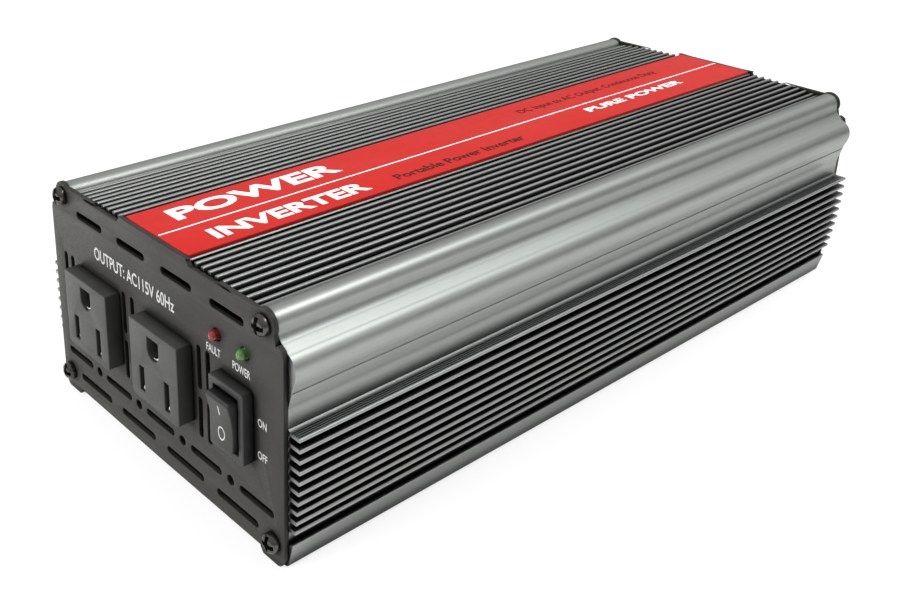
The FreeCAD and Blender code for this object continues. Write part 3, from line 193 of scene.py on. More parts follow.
def top_shell_half():
    """Right half of the upper extrusion's section, from the label land outwards and back along the inside."""
    points = [(0, label_low.z), (LAND_HALF_WIDTH - 0.3, label_low.z), (LAND_HALF_WIDTH, label_low.z - 0.3),
              (LAND_HALF_WIDTH, PLATE_TOP + 0.3), (LAND_HALF_WIDTH + 0.3, PLATE_TOP)]
    half = TOP_FIN_THICK / 2
    for index in range(TOP_FINS):
        middle = TOP_FIN_FIRST + index * TOP_FIN_PITCH
        peak = TOP_FIN_PEAK - TOP_FIN_DROP * (index * TOP_FIN_PITCH) ** 2
        points += [(middle - half - 0.25, PLATE_TOP), (middle - half, PLATE_TOP + 0.3)]
        points += arc(middle, peak - half * 0.8, half * 0.8, 180, 0, 8)
        points += [(middle + half, PLATE_TOP + 0.3), (middle + half + 0.25, PLATE_TOP)]
    lobe_x, lobe_z = UPPER_SCREW
    points += [(45.15, PLATE_TOP), (45.3, 71.0), (45.55, 71.3), (46.1, 71.2), (46.7, 70.5)]
    points += arc(lobe_x, lobe_z, CHANNEL_RADIUS, 155, -4, 16)
    points += arc(57.35, 68.1, 3.2, 184, 246, 8)
    points += arc(55.7, 59.0, 5.1, 66, -18, 18)
    points += rounded([(60.45, 56.8), (59.5, SEAM + 1.4), (59.2, SEAM + 0.25)], [0.0, 2.0, 0.0], 5)
    points += [(59.05, SEAM + 0.05), (WALL_OUTER - 0.6, SEAM + 0.06)]
    tongue = WALL_OUTER - WALL_THICK - 0.2
    inside = WALL_OUTER - WALL_THICK - 1.9
    points += [(tongue, SEAM + 0.06), (tongue, SEAM - 3), (inside, SEAM - 3), (inside, SEAM + 9),
               (lobe_x - 2, PLATE_BOTTOM), (0, PLATE_BOTTOM)]
    return points


def panel_half():
    """Right half of both end panels' outline, from the bottom middle round to the top middle."""
    lobe_x, lobe_z = UPPER_SCREW
    side = panel_high.x
    points = [(0, 1.9)]
    points += rounded([(47.5, 1.9), (48.8, panel_low.z), (side - 1.6, panel_low.z), (side, panel_low.z + 3.4),
                       (side, 62.8), (side - 0.4, 64.6), (55.2, 65.8)],
                      [0.8, 0.8, 2.4, 2.0, 1.5, 1.0, 0.8], 4)
    points += arc(lobe_x, lobe_z, 4.25, -22, 128, 12)
    points += rounded([(43.6, 71.8), (LAND_HALF_WIDTH + 1.3, 71.8), (LAND_HALF_WIDTH - 0.3, panel_high.z)],
                      [1.5, 0.4, 0.4], 4)
    points.append((0, panel_high.z))
    return points


def mirrored(half):
    """The whole closed outline from a right half that starts and ends on the middle line."""
    return half + [(-x, z) for x, z in reversed(half[1:-1])]


# ---- mesh helpers

SHARP_ANGLE = 32
PLATE_MERGE, PRINT_MERGE = 0.004, 0.001


def add_object(name, data):
    added = bpy.data.objects.new(name, data)
    bpy.context.scene.collection.objects.link(added)
    return added


def shade(mesh, sharp_angle=SHARP_ANGLE):
    """Smooth faces, and sharp edges where two faces meet at more than the angle."""
    mesh.shade_smooth()
    mesh.set_sharp_from_angle(angle=math.radians(sharp_angle))


def link(name, mesh, sharp_angle=SHARP_ANGLE):
    shade(mesh, sharp_angle)
    return add_object(name, mesh)


def evaluated_mesh(shape):
    """The final mesh of a curve, a text or an object with modifiers."""
    bpy.context.view_layer.update()
    return bpy.data.meshes.new_from_object(shape.evaluated_get(bpy.context.evaluated_depsgraph_get()))


def mesh_of_curve(name, curve, transform, merge):
    """A filled curve or a text as a mesh: moved, points closer than merge joined, faces turned outwards."""
    shape = add_object(name + "_curve", curve)
    mesh = evaluated_mesh(shape)
    bpy.data.objects.remove(shape)
    mesh.transform(transform)
    work = bmesh.new()
    work.from_mesh(mesh)
    bmesh.ops.remove_doubles(work, verts=work.verts, dist=merge * MM)
    bmesh.ops.recalc_face_normals(work, faces=work.faces)
    work.to_mesh(mesh)
    work.free()
    mesh.name = name
    return mesh


def mesh_from(name, build):
    """A mesh made by a function that fills a bmesh, with its faces turned outwards."""
    mesh = bpy.data.meshes.new(name)
    work = bmesh.new()
    build(work)
    bmesh.ops.recalc_face_normals(work, faces=work.faces)
    work.to_mesh(mesh)
    work.free()
    return mesh


def ring_at(work, y, outline):
    return [work.verts.new((x * MM, y * MM, z * MM)) for x, z in outline]


def bridge(work, rings, next_rings):
    """Faces between each ring and its next one; a ring of one point makes triangles."""
    count = max(len(ring) for ring in rings)
    for near, far in zip(rings, next_rings):
        for index in range(count):
            after = (index + 1) % count
            corners = (near[index % len(near)], near[after % len(near)], far[after % len(far)],
                       far[index % len(far)])
            unique = list(dict.fromkeys(corners))
            if len(unique) > 2:
                work.faces.new(unique)


def shrunk(outline, amount):
    """The closed outline moved inwards by a small amount at each corner."""
    area = sum(a[0] * b[1] - b[0] * a[1] for a, b in zip(outline, outline[1:] + outline[:1]))
    turn = 1 if area > 0 else -1
    moved = []
    for before, here, after in zip(outline[-1:] + outline[:-1], outline, outline[1:] + outline[:1]):
        first = (Vector(here) - Vector(before)).normalized()
        second = (Vector(after) - Vector(here)).normalized()
        normal = Vector((-(first.y + second.y), first.x + second.x))
        if normal.length > 0:
            normal.normalize()
        moved.append((here[0] + normal.x * amount * turn, here[1] + normal.y * amount * turn))
    return moved


def extrusion(name, outline):
    """A solid bar along Y between the end panels, with a small chamfer at both ends."""
    inset = shrunk(outline, END_CHAMFER)
    triangles = tessellate_polygon([[Vector((x, z, 0)) for x, z in inset]])
    stations = ((FRONT_INNER, inset), (FRONT_INNER + END_CHAMFER, outline),
                (REAR_INNER - END_CHAMFER, outline), (REAR_INNER, inset))

    def build(work):
        rings = [ring_at(work, y, ring) for y, ring in stations]
        bridge(work, rings, rings[1:])
        for ring in (rings[0], rings[-1]):
            for corners in triangles:
                work.faces.new([ring[corner] for corner in corners])

    return link(name, mesh_from(name, build))


def plate(name, outline, holes, start, depth, bevel, basis="front", sharp_angle=40):
    """A sheet with holes and softened edges. basis front: outline in X and Z, depth along +Y.
    basis side: outline in Y and Z, depth along +X. basis top: outline in X and Y, depth along +Z."""
    curve = bpy.data.curves.new(name, "CURVE")
    curve.dimensions = "2D"
    curve.fill_mode = "BOTH"
    curve.extrude = (depth / 2 - bevel) * MM
    curve.bevel_depth = bevel * MM
    curve.bevel_resolution = 2
    curve.offset = -bevel * MM
    for ring in [outline] + list(holes):
        spline = curve.splines.new("POLY")
        spline.points.add(len(ring) - 1)
        for point, (x, y) in zip(spline.points, ring):
            point.co = (x * MM, y * MM, 0, 1)
        spline.use_cyclic_u = True
    middle = (start + depth / 2) * MM
    turns = {
        "front": Matrix(((1, 0, 0, 0), (0, 0, 1, middle), (0, 1, 0, 0), (0, 0, 0, 1))),
        "side": Matrix(((0, 0, 1, middle), (1, 0, 0, 0), (0, 1, 0, 0), (0, 0, 0, 1))),
        "top": Matrix(((1, 0, 0, 0), (0, 1, 0, 0), (0, 0, 1, middle), (0, 0, 0, 1))),
    }
    return link(name, mesh_of_curve(name, curve, turns[basis], PLATE_MERGE), sharp_angle)


def lathe(name, profile, place, direction, segments=48, sharp_angle=SHARP_ANGLE):
    """A turned piece. profile is (radius, distance) pairs along direction from place, both in millimetres."""
    turn = Vector((0, 0, 1)).rotation_difference(Vector(direction)).to_matrix().to_4x4()
    shift = Matrix.Translation(Vector(place) * MM)
    angles = [2 * math.pi * index / segments for index in range(segments)]

    def build(work):
        rings = []
        for radius, distance in profile:
            spots = [(radius * math.cos(angle), radius * math.sin(angle)) for angle in angles]
            if radius == 0:
                spots = [(0, 0)]
            rings.append([work.verts.new((x * MM, y * MM, distance * MM)) for x, y in spots])
        bridge(work, rings, rings[1:])
        for ring in (rings[0], rings[-1]):
            if len(ring) > 1:
                work.faces.new(ring)

    mesh = mesh_from(name, build)
    mesh.transform(shift @ turn)
    return link(name, mesh, sharp_angle)


def join(name, pieces):
    """One piece from several, with their material slots kept."""
    bpy.ops.object.select_all(action="DESELECT")
    for piece in pieces:
        piece.select_set(True)
    bpy.context.view_layer.objects.active = pieces[0]
    bpy.ops.object.join()
    pieces[0].name = name
    pieces[0].data.name = name
    return pieces[0]


def carve(piece, cutters):
    """Cuts solids out of a piece."""
    for cutter in cutters:
        step = piece.modifiers.new("carve", "BOOLEAN")
        step.operation = "DIFFERENCE"
        step.solver = "EXACT"
        step.object = cutter
    mesh = evaluated_mesh(piece)
    piece.modifiers.clear()
    piece.data = mesh
    for cutter in cutters:
        bpy.data.objects.remove(cutter)
    shade(mesh)
    return piece


def tapered_block(name, low, high, taper):
    """A box in millimetres whose end towards +Y is scaled by taper."""
    low, high = Vector(low), Vector(high)
    center = (low + high) / 2

    def build(work):
        for vert in bmesh.ops.create_cube(work, size=1)["verts"]:
            scales = (taper, 1.0, taper) if vert.co.y > 0 else (1.0, 1.0, 1.0)
            for side, scale in enumerate(scales):
                vert.co[side] = (center[side] + vert.co[side] * (high[side] - low[side]) * scale) * MM

    return link(name, mesh_from(name, build))


def paint(piece, key):
    piece.data.materials.clear()
    piece.data.materials.append(MATERIALS[key])


def finish_piece(piece, slot_name, *nodes, body="case", material=None):
    """Gives a piece its body and the slot's or another material, and hides the CAD nodes it stands for."""
    paint(piece, material or slot_name)
    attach(piece, body)
    if nodes:
        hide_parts(*nodes)


# ---- materials

def set_inputs(node, values):
    for name, value in values.items():
        node.inputs[name].default_value = value


class Wiring:
    """A node tree with helpers to add nodes and wire them."""

    def __init__(self, tree):
        self.tree = tree

    def node(self, kind, **settings):
        """A shader node with its own properties and its inputs set by name."""
        made = self.tree.nodes.new(kind)
        for key, value in settings.items():
            if hasattr(made, key):
                setattr(made, key, value)
            else:
                made.inputs[key.replace("_", " ").title()].default_value = value
        return made

    def wire(self, source, target):
        self.tree.links.new(source, target)

    def along(self, place, axis):
        """One axis of a place."""
        split = self.node("ShaderNodeSeparateXYZ")
        self.wire(place, split.inputs["Vector"])
        return split.outputs[axis]

    def map_range(self, source, start, end, low, high, kind="LINEAR"):
        """The source carried from the range start to end into the range low to high."""
        mapped = self.node("ShaderNodeMapRange", interpolation_type=kind)
        set_inputs(mapped, {"From Min": start, "From Max": end, "To Min": low, "To Max": high})
        self.wire(source, mapped.inputs["Value"])
        return mapped.outputs["Result"]

    def calculate(self, operation, source, amount):
        step = self.node("ShaderNodeMath", operation=operation)
        step.inputs[1].default_value = amount
        self.wire(source, step.inputs[0])
        return step.outputs[0]

    def seen_by_camera(self, other, value):
        """A value for the camera's own rays, another source for all other rays; and the ray test itself."""
        choice = self.node("ShaderNodeMix", B=value)
        ray = self.node("ShaderNodeLightPath").outputs["Is Camera Ray"]
        self.wire(ray, choice.inputs["Factor"])
        self.wire(other, choice.inputs["A"])
        return choice.outputs["Result"], ray


class Surface(Wiring):
    """A Principled material with helpers to feed its inputs from procedural textures."""

    def __init__(self, name, color, roughness, metallic=0.0, coat=0.0, specular=0.25):
        self.material = bpy.data.materials.new(name)
        self.material.use_nodes = True
        super().__init__(self.material.node_tree)
        self.shader = self.tree.nodes["Principled BSDF"]
        set_inputs(self.shader, {"Base Color": (*color, 1), "Roughness": roughness, "Metallic": metallic,
                                 "Coat Weight": coat, "Specular IOR Level": specular})
        self.color = color
        self.place = self.node("ShaderNodeTexCoord").outputs["Object"]
        self.last_normal = None

    def stretched(self, scale):
        """Object coordinates in cycles per metre; scale is one number or one per axis."""
        steps = scale if isinstance(scale, tuple) else (scale, scale, scale)
        mapping = self.node("ShaderNodeMapping", Scale=steps)
        self.wire(self.place, mapping.inputs["Vector"])
        return mapping.outputs["Vector"]

    def noise(self, scale, detail=3.0, rough=0.5):
        texture = self.node("ShaderNodeTexNoise", Scale=1.0, Detail=detail, Roughness=rough)
        self.wire(self.stretched(scale), texture.inputs["Vector"])
        return texture.outputs["Fac"]

    def ramp(self, source, low, high, low_at=0.35, high_at=0.65):
        """The source squeezed between two grey values or two colours."""
        ramp = self.node("ShaderNodeValToRGB")
        for element, value, spot in zip(ramp.color_ramp.elements, (low, high), (low_at, high_at)):
            element.color = (value, value, value, 1) if isinstance(value, float) else (*value, 1)
            element.position = spot
        self.wire(source, ramp.inputs["Fac"])
        return ramp.outputs["Color"]

    def vary_color(self, source, spread):
        """Base colour a little darker and lighter than its own, by a share."""
        low = tuple(part * (1 - spread) for part in self.color)
        high = tuple(min(1.0, part * (1 + spread)) for part in self.color)
        self.wire(self.ramp(source, low, high), self.shader.inputs["Base Color"])

    def vary_roughness(self, source, low, high):
        self.wire(self.ramp(source, float(low), float(high)), self.shader.inputs["Roughness"])

    def bump(self, source, strength, distance):
        """Adds a relief on top of the ones before it; distance in millimetres."""
        bump = self.node("ShaderNodeBump", Strength=strength, Distance=distance * MM)
        self.wire(source, bump.inputs["Height"])
        if self.last_normal is not None:
            self.wire(self.last_normal, bump.inputs["Normal"])
        self.last_normal = bump.outputs["Normal"]
        self.wire(self.last_normal, self.shader.inputs["Normal"])

    def multiply(self, shade):
        """Multiplies the base colour by a grey value."""
        blend = self.node("ShaderNodeMix", data_type="RGBA", blend_type="MULTIPLY", Factor=1.0)
        target = self.shader.inputs["Base Color"]
        colors = [socket for socket in blend.inputs if socket.type == "RGBA"]
        if target.is_linked:
            self.wire(target.links[0].from_socket, colors[0])
        else:
            colors[0].default_value = target.default_value
        self.wire(shade, colors[1])
        self.wire(next(socket for socket in blend.outputs if socket.type == "RGBA"), target)

    def paint_low_shade(self, low, high, floor):
        """Painted shade: darkens the base colour from one height in millimetres down to another."""
        self.multiply(self.map_range(self.along(self.place, "Z"), low * MM, high * MM, floor, 1.0))

    def paint_gap_shade(self, distance, floor, power):
        """Painted shade: darkens the base colour in deep narrow gaps by their ambient occlusion, where little
        light enters.
        """
        occlusion = self.node("ShaderNodeAmbientOcclusion", samples=6, Distance=distance * MM)
        openness = self.calculate("POWER", occlusion.outputs["AO"], power)
        self.multiply(self.map_range(openness, 0.0, 1.0, floor, 1.0))


def anodised_aluminium():
    """Grey satin anodised extrusion: die lines along Y, cloudy gloss, and painted shade low down and between
    fins.
    """
    skin = Surface("anodised_aluminium", (0.355, 0.37, 0.355), 0.44, metallic=1.0)
    lines = skin.noise((1400, 3.0, 1400), 3.0, 0.6)
    clouds = skin.noise((30, 9, 30), 3.0)
    skin.vary_color(lines, 0.04)
    skin.vary_roughness(clouds, 0.41, 0.47)
    skin.bump(lines, 0.012, 0.02)
    skin.bump(skin.noise(2600, 2.0), 0.03, 0.02)
    # painted shade between the fins and in the case's hollows
    skin.paint_gap_shade(5.0, 0.015, 2.2)
    # painted shade on the bottom rail, darker towards the floor
    skin.paint_low_shade(1.0, 10.5, 0.3)
    return skin.material


def powder_coat():
    """Dark warm grey satin coating with a fine orange-peel grain."""
    skin = Surface("powder_coat", (0.0238, 0.0233, 0.0214), 0.48, specular=0.15)
    grain = skin.noise(2400, 2.0)
    skin.vary_color(skin.noise(60, 3.0), 0.10)
    skin.vary_roughness(grain, 0.40, 0.54)
    skin.bump(grain, 0.22, 0.03)
    # painted shade in the panel's holes and gaps
    skin.paint_gap_shade(3.0, 0.0, 2.2)
    return skin.material


def moulded_plastic(name, color, roughness, grain_size, coat, gap_shade_floor):
    """Injection-moulded plastic with an eroded fine texture and slight mottling."""
    skin = Surface(name, color, roughness, coat=coat)
    grain = skin.noise(grain_size, 3.0, 0.6)
    skin.vary_color(skin.noise(140, 3.0), 0.12)
    skin.vary_roughness(grain, roughness - 0.07, roughness + 0.09)
    skin.bump(grain, 0.18, 0.025)
    # painted shade: base colour darkened in deep gaps and recesses
    skin.paint_gap_shade(3.0, gap_shade_floor, 1.3)
    return skin.material


def printed_film():
    """Red printed label film: even colour, slightly wavy gloss."""
    skin = Surface("printed_film", (0.38, 0.0125, 0.009), 0.45, specular=0.135)
    waves = skin.noise((70, 22, 70), 2.0)
    skin.vary_color(skin.noise(400, 2.0), 0.035)
    skin.vary_roughness(waves, 0.38, 0.48)
    skin.bump(waves, 0.05, 0.06)
    return skin.material


def ink(name, color, specular=0.25):
    """Screen-printed ink, slightly uneven in tone and gloss."""
    skin = Surface(name, color, 0.5, specular=specular)
    skin.vary_color(skin.noise(1800, 2.0), 0.06)
    skin.vary_roughness(skin.noise(900, 2.0), 0.42, 0.56)
    return skin.material


def metal(name, color, roughness, line_scale=500, bump=0.05):
    """Bare or plated metal with fine machining marks."""
    skin = Surface(name, color, roughness, metallic=1.0)
    marks = skin.noise(line_scale, 4.0, 0.6)
    skin.vary_color(marks, 0.10)
    skin.vary_roughness(skin.noise(160, 3.0), roughness * 0.8, roughness * 1.25)
    skin.bump(marks, bump, 0.03)
    return skin.material


def lens(name, color):
    """Clear coloured epoxy of a status light."""
    skin = Surface(name, color, 0.08, coat=0.6)
    set_inputs(skin.shader, {"Transmission Weight": 0.45, "Subsurface Weight": 0.25,
                             "Subsurface Radius": (0.002, 0.002, 0.002)})
    skin.vary_color(skin.noise(420, 2.0), 0.25)
    skin.vary_roughness(skin.noise(900, 2.0), 0.05, 0.14)
    return skin.material


def circuit_board():
    """Green solder mask over a grid of lighter, slightly raised traces."""
    skin = Surface("circuit_board", (0.018, 0.13, 0.045), 0.3, coat=0.3)
    cells = skin.node("ShaderNodeTexBrick", Scale=1.0, Color1=(0.014, 0.10, 0.035, 1),
                      Color2=(0.018, 0.125, 0.042, 1), Mortar=(0.05, 0.26, 0.09, 1), Mortar_Size=0.06)
    skin.wire(skin.stretched(160), cells.inputs["Vector"])
    skin.wire(cells.outputs["Color"], skin.shader.inputs["Base Color"])
    skin.vary_roughness(skin.noise(900, 2.0), 0.24, 0.38)
    skin.bump(cells.outputs["Fac"], 0.15, 0.03)
    # painted shade over the board inside the case
    skin.paint_gap_shade(40.0, 0.0, 2.5)
    return skin.material


def wound_wire():
    """Enamelled copper winding: close round turns as a wave across the coil."""
    skin = Surface("wound_wire", (0.55, 0.22, 0.07), 0.28, metallic=1.0)
    turns = skin.node("ShaderNodeTexWave", wave_type="BANDS", bands_direction="Z", Scale=1.0, Distortion=0.6)
    skin.wire(skin.stretched(260), turns.inputs["Vector"])
    skin.vary_color(turns.outputs["Fac"], 0.35)
    skin.bump(turns.outputs["Fac"], 0.6, 0.2)
    skin.vary_roughness(skin.noise(400, 2.0), 0.2, 0.36)
    return skin.material


# materials by slot; the wire, the inks and two of the plastics have a key of their own
MATERIALS = {
    "anodised_aluminium": anodised_aluminium(),
    "panel_black": powder_coat(),
    "label_red": printed_film(),
    "black_screw": metal("black_oxide", (0.095, 0.093, 0.088), 0.30),
    "contact_metal": metal("nickel_contact", (0.72, 0.69, 0.62), 0.24),
    "bright_steel": metal("zinc_plate", (0.66, 0.66, 0.65), 0.27),
    "post_brass": metal("turned_brass", (0.72, 0.52, 0.22), 0.24, (120, 2600, 120), 0.2),
    "red_lens": lens("red_lens", (0.20, 0.010, 0.008)),
    "green_lens": lens("green_lens", (0.065, 0.185, 0.03)),
    "board_green": circuit_board(),
    "copper": wound_wire(),
    "chrome_wire": metal("chrome_wire", (0.74, 0.74, 0.75), 0.14),
    "white_ink": ink("white_ink", (0.86, 0.86, 0.86)),
    "legend_ink": ink("legend_ink", (0.30, 0.30, 0.29)),
    "black_ink": ink("black_ink", (0.03, 0.01, 0.01), specular=0.08),
}

# key, material, colour, roughness, grain, coat, brightness left in the painted gap shade
MOULDED = (
    ("black_plastic", "black_plastic", (0.034, 0.034, 0.0325), 0.46, 3200, 0.0, 0.0),
    ("red_plastic", "red_plastic", (0.34, 0.010, 0.008), 0.34, 2600, 0.15, 0.3),
    ("can_black", "shrink_sleeve", (0.022, 0.022, 0.035), 0.26, 900, 0.3, 0.0),
    ("ferrite", "ferrite", (0.045, 0.045, 0.05), 0.5, 1800, 0.0, 0.0),
    ("white_pad", "silicone_pad", (0.62, 0.62, 0.58), 0.6, 1500, 0.0, 0.0),
    ("fuse_blue", "fuse_body", (0.03, 0.11, 0.42), 0.22, 900, 0.3, 0.0),
    ("cable_red", "red_jacket", (0.42, 0.015, 0.015), 0.4, 1500, 0.0, 0.0),
    ("cable_black", "black_jacket", (0.022, 0.022, 0.022), 0.4, 1500, 0.0, 0.0),
    ("cable_green", "green_jacket", (0.02, 0.2, 0.05), 0.4, 1500, 0.0, 0.0),
    ("switch_plastic", "switch_plastic", (0.023, 0.023, 0.022), 0.38, 3600, 0.0, 0.0),
    ("fan_plastic", "fan_plastic", (0.06, 0.06, 0.06), 0.36, 3200, 0.0, 0.7),
)
for moulded_key, *moulded_looks in MOULDED:
    MATERIALS[moulded_key] = moulded_plastic(*moulded_looks)
OWN_MATERIALS = {"fan_guard": "chrome_wire", "fan_frame": "fan_plastic", "fan_rotor": "fan_plastic"}


def dress_cad_nodes():
    """Every CAD node gets the procedural material of its slot, and the fan's nodes one of their own."""
    for entry in frame["record"]["subparts"]:
        key = OWN_MATERIALS.get(entry["node"], entry["material_slot"])
        paint(frame["nodes"][entry["node"]], key)


# ---- case

def case_shells():
    for node, half in (("base_shell", base_shell_half()), ("top_shell", top_shell_half())):
        finish_piece(extrusion(node + "_skin", mirrored(half)), "anodised_aluminium", node)


# ---- end panels

VENT_PITCH, VENT_LENGTH, VENT_HALF = 23.12, 14.75, 1.15
LOWER_VENT_PITCH, LOWER_VENT_LENGTH = 25.0, 18.7
UPPER_VENT_Z, MIDDLE_VENT_Z, LOWER_VENT_Z = 65.6, 15.0, 7.8
RISER_X = (-51, -46.8, -17, -12.3, 21.4, 25.6)
RISER_ROWS = ((43.4, 13.5), (27.8, 12.7))
RISER_HALF = 1.0
SCREW_HOLE, DOT_HOLE, LIGHT_HOLE = 1.65, 1.5, 1.8
OUTLET_CUTOUT = 22.3
SWITCH_CUTOUT = (13.2, 19.4)
FAN_OPENING, FAN_HOLE_HALF, FAN_HOLE = 28.0, 25.0, 2.2
POST_HOLE, GROUND_HOLE = 7.2, 2.7
REAR_VENT_X, REAR_VENT_Z, REAR_VENT_LENGTH = (19.5, 31.5, 43.5), 58.5, 9.0
PANEL_BEVEL = 0.22
SCREW_SPOTS = [(side * x, z) for x, z in (UPPER_SCREW, LOWER_SCREW) for side in (-1, 1)]


def vent_row(count, pitch, z, length):
    """Lying vent slots, evenly spaced about the middle line."""
    return [slot((index - (count - 1) / 2) * pitch, z, length, VENT_HALF) for index in range(count)]


def front_panel_holes():
    """Vents, round holes between them, upright vents beside the outlets, and what the panel carries."""
    holes = vent_row(4, VENT_PITCH, UPPER_VENT_Z, VENT_LENGTH)
    holes += vent_row(5, VENT_PITCH, MIDDLE_VENT_Z, VENT_LENGTH)
    holes += vent_row(4, LOWER_VENT_PITCH, LOWER_VENT_Z, LOWER_VENT_LENGTH)
    holes += [circle((index - 1.5) * VENT_PITCH, MIDDLE_VENT_Z, DOT_HOLE, 24) for index in range(4)]
    holes += [slot(x, z, length, RISER_HALF, upright=True) for x in RISER_X for z, length in RISER_ROWS]
    holes += [circle(x, z, SCREW_HOLE, 24) for x, z in SCREW_SPOTS]
    holes += [rectangle(x, OUTLET_Z, OUTLET_CUTOUT, OUTLET_CUTOUT, 0.5) for x in OUTLETS.values()]
    holes.append(rectangle(SWITCH_X, SWITCH_Z, *SWITCH_CUTOUT, 0.5))
    holes += [circle(x, z, LIGHT_HOLE, 32) for x, z in LIGHTS.values()]
    return holes


def rear_panel_holes():
    """Fan opening with its four screw holes, terminals, ground stud and a short vent row."""
    holes = [circle(x, z, SCREW_HOLE, 24) for x, z in SCREW_SPOTS]
    holes.append(circle(FAN_X, FAN_Z, FAN_OPENING, 96))
    for across in (-FAN_HOLE_HALF, FAN_HOLE_HALF):
        for up in (-FAN_HOLE_HALF, FAN_HOLE_HALF):
            holes.append(circle(FAN_X + across, FAN_Z + up, FAN_HOLE, 24))
    holes += [circle(x, z, POST_HOLE, 40) for x, z in POSTS.values()]
    holes.append(circle(*GROUND, GROUND_HOLE, 24))
    holes += [slot(x, REAR_VENT_Z, REAR_VENT_LENGTH, VENT_HALF) for x in REAR_VENT_X]
    return holes


def end_panels():
    outline = mirrored(panel_half())
    ends = (("front_panel", front_panel_holes(), FRONT), ("rear_panel", rear_panel_holes(), REAR_INNER))
    for node, holes, start in ends:
        sheet = plate(node + "_sheet", outline, holes, start, FRONT_INNER - FRONT, PANEL_BEVEL)
        finish_piece(sheet, "panel_black", node)


# ---- panel screws

HEAD_RADIUS, HEAD_HEIGHT = 2.9, 2.6
SHANK_RADIUS, SHANK_LENGTH = 1.5, 10
RECESS_FLOOR, RECESS_TAPER = 1.0, 1.75
# half widths of the recess at its end towards -Y: the floor of a rear screw's, the mouth of a front screw's
RECESS_HALF_WIDTHS = {1: (0.42, 1.75), -1: (0.74, 3.1)}


def pan_head_screw(name, x, z, face, outward):
    """Domed head with a tapered cross recess, and its shank; outward is -1 or 1 along Y."""
    profile = [(0, -SHANK_LENGTH), (1.4, -SHANK_LENGTH), (SHANK_RADIUS, -9.6), (SHANK_RADIUS, 0), (2.65, 0),
               (2.85, 0.12), (HEAD_RADIUS, 0.4), (HEAD_RADIUS, 0.9), (2.8, 1.45), (2.5, 1.95), (2.0, 2.3),
               (1.4, 2.5), (0.7, 2.58), (0, HEAD_HEIGHT)]
    screw = lathe(name, profile, (x, face, z), (0, outward, 0), 40)
    deep, proud = sorted((face + outward * RECESS_FLOOR, face + outward * (HEAD_HEIGHT + 0.3)))
    taper = RECESS_TAPER if outward > 0 else 1 / RECESS_TAPER
    thin, wide = RECESS_HALF_WIDTHS[outward]
    cutters = [tapered_block(name + "_recess", (x - across, deep, z - up), (x + across, proud, z + up), taper)
               for across, up in ((wide, thin), (thin, wide))]
    return carve(screw, cutters)


def panel_screws():
    for end, face, outward in (("front", FRONT, -1), ("rear", REAR, 1)):
        screws = [pan_head_screw(f"{end}_screw_{index}", x, z, face, outward)
                  for index, (x, z) in enumerate(SCREW_SPOTS)]
        finish_piece(join(f"{end}_panel_screws", screws), "black_screw", f"{end}_screws")


# ---- label

PRINT_THICK = 0.04
LINE_X, LINE_WIDE = 0.7, 0.5


def label_film():
    """The red film and the white line along it."""
    length = label_high.y - label_low.y
    outline = rectangle(0, 0, 2 * label_high.x, length, 0.3, 3)
    film = plate("label_film", outline, [], label_low.z, LABEL_TOP - label_low.z - PRINT_THICK, 0.1, "top")
    finish_piece(film, "label_red", "label_plate")
    strip = rectangle(LINE_X, 0, LINE_WIDE, length - 0.8)
    line = plate("label_line", strip, [], LABEL_TOP - PRINT_THICK, PRINT_THICK, 0.008, "top")
    finish_piece(line, "label_red", material="white_ink")


def lettering(name, words, size, place, right, up, ink_key, stretch, weight):
    """Raised print on the case. right and up are unit directions of the line and of the letters, place is
    the start of the line, weight is how far the strokes are thickened."""
    curve = bpy.data.curves.new(name, "FONT")
    curve.body = words
    curve.size = size * MM
    curve.extrude = PRINT_THICK / 2 * MM
    curve.offset = weight * MM
    right, up = Vector(right), Vector(up)
    out = right.cross(up)
    basis = Matrix((right * stretch, up, out)).transposed().to_4x4()
    shift = Matrix.Translation(Vector(place) * MM + out * PRINT_THICK / 2 * MM)
    piece = link(name, mesh_of_curve(name, curve, shift @ basis, PRINT_MERGE))
    paint(piece, ink_key)
    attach(piece, "case")


def label_print():
    """Generic wording along the label: read along +Y with the letters' tops towards -X."""
    lines = (
        ("label_title", "POWER", 10.6, (-4.6, -125.0), "white_ink", 1.62, 0.32),
        ("label_subtitle", "INVERTER", 8.8, (12.0, -123.0), "white_ink", 1.42, 0.26),
        ("label_kind", "Portable Power Inverter", 5.2, (12.0, -56.0), "black_ink", 1.14, 0.1),
        ("label_duty", "DC Input to AC Output, Continuous Duty", 4.6, (-6.2, 21.0), "black_ink", 1.02, 0.05),
        ("label_stage", "PURE POWER", 5.0, (8.0, 42.0), "white_ink", 1.9, 0.12),
    )
    for name, words, size, (x, y), ink_key, stretch, weight in lines:
        place = (x, y, LABEL_TOP - PRINT_THICK)
        lettering(name, words, size, place, (0, 1, 0), (-1, 0, 0), ink_key, stretch, weight)


# ---- panel legends

LEGEND_WEIGHT = 0.012


def legends(face, direction, lines):
    """Grey print on an end panel; direction is 1 for lines that run towards +X and -1 for -X."""
    for name, words, size, (x, z), stretch in lines:
        lettering(name, words, size, (x, face, z), (direction, 0, 0), (0, 0, 1), "legend_ink", stretch,
                  size * LEGEND_WEIGHT)


def front_legends():
    legends(FRONT, 1, (
        ("legend_output", "OUTPUT: AC115V 60Hz", 5.6, (-32.6, 54.9), 0.74),
        ("legend_fault", "FAULT", 3.3, (25.3, 50.9), 0.66),
        ("legend_power", "POWER", 3.3, (36.9, 50.7), 0.66),
        ("legend_on", "ON", 3.3, (47.4, 39.0), 0.72),
        ("legend_off", "OFF", 3.3, (47.2, 29.3), 0.70),
    ))


def rear_legends():
    legends(REAR, -1, (
        ("legend_input", "DC 12V INPUT", 4.4, (44.5, 46.5), 0.86),
        ("legend_minus", "-", 7.5, (POSTS["negative"][0] + 1.2, 39.0), 1.3),
        ("legend_plus", "+", 6.0, (POSTS["positive"][0] + 1.7, 39.2), 1.0),
        ("legend_ground", "GND", 3.0, (GROUND[0] + 11.5, GROUND[1] - 1.0), 0.9),
    ))


# ---- outlets

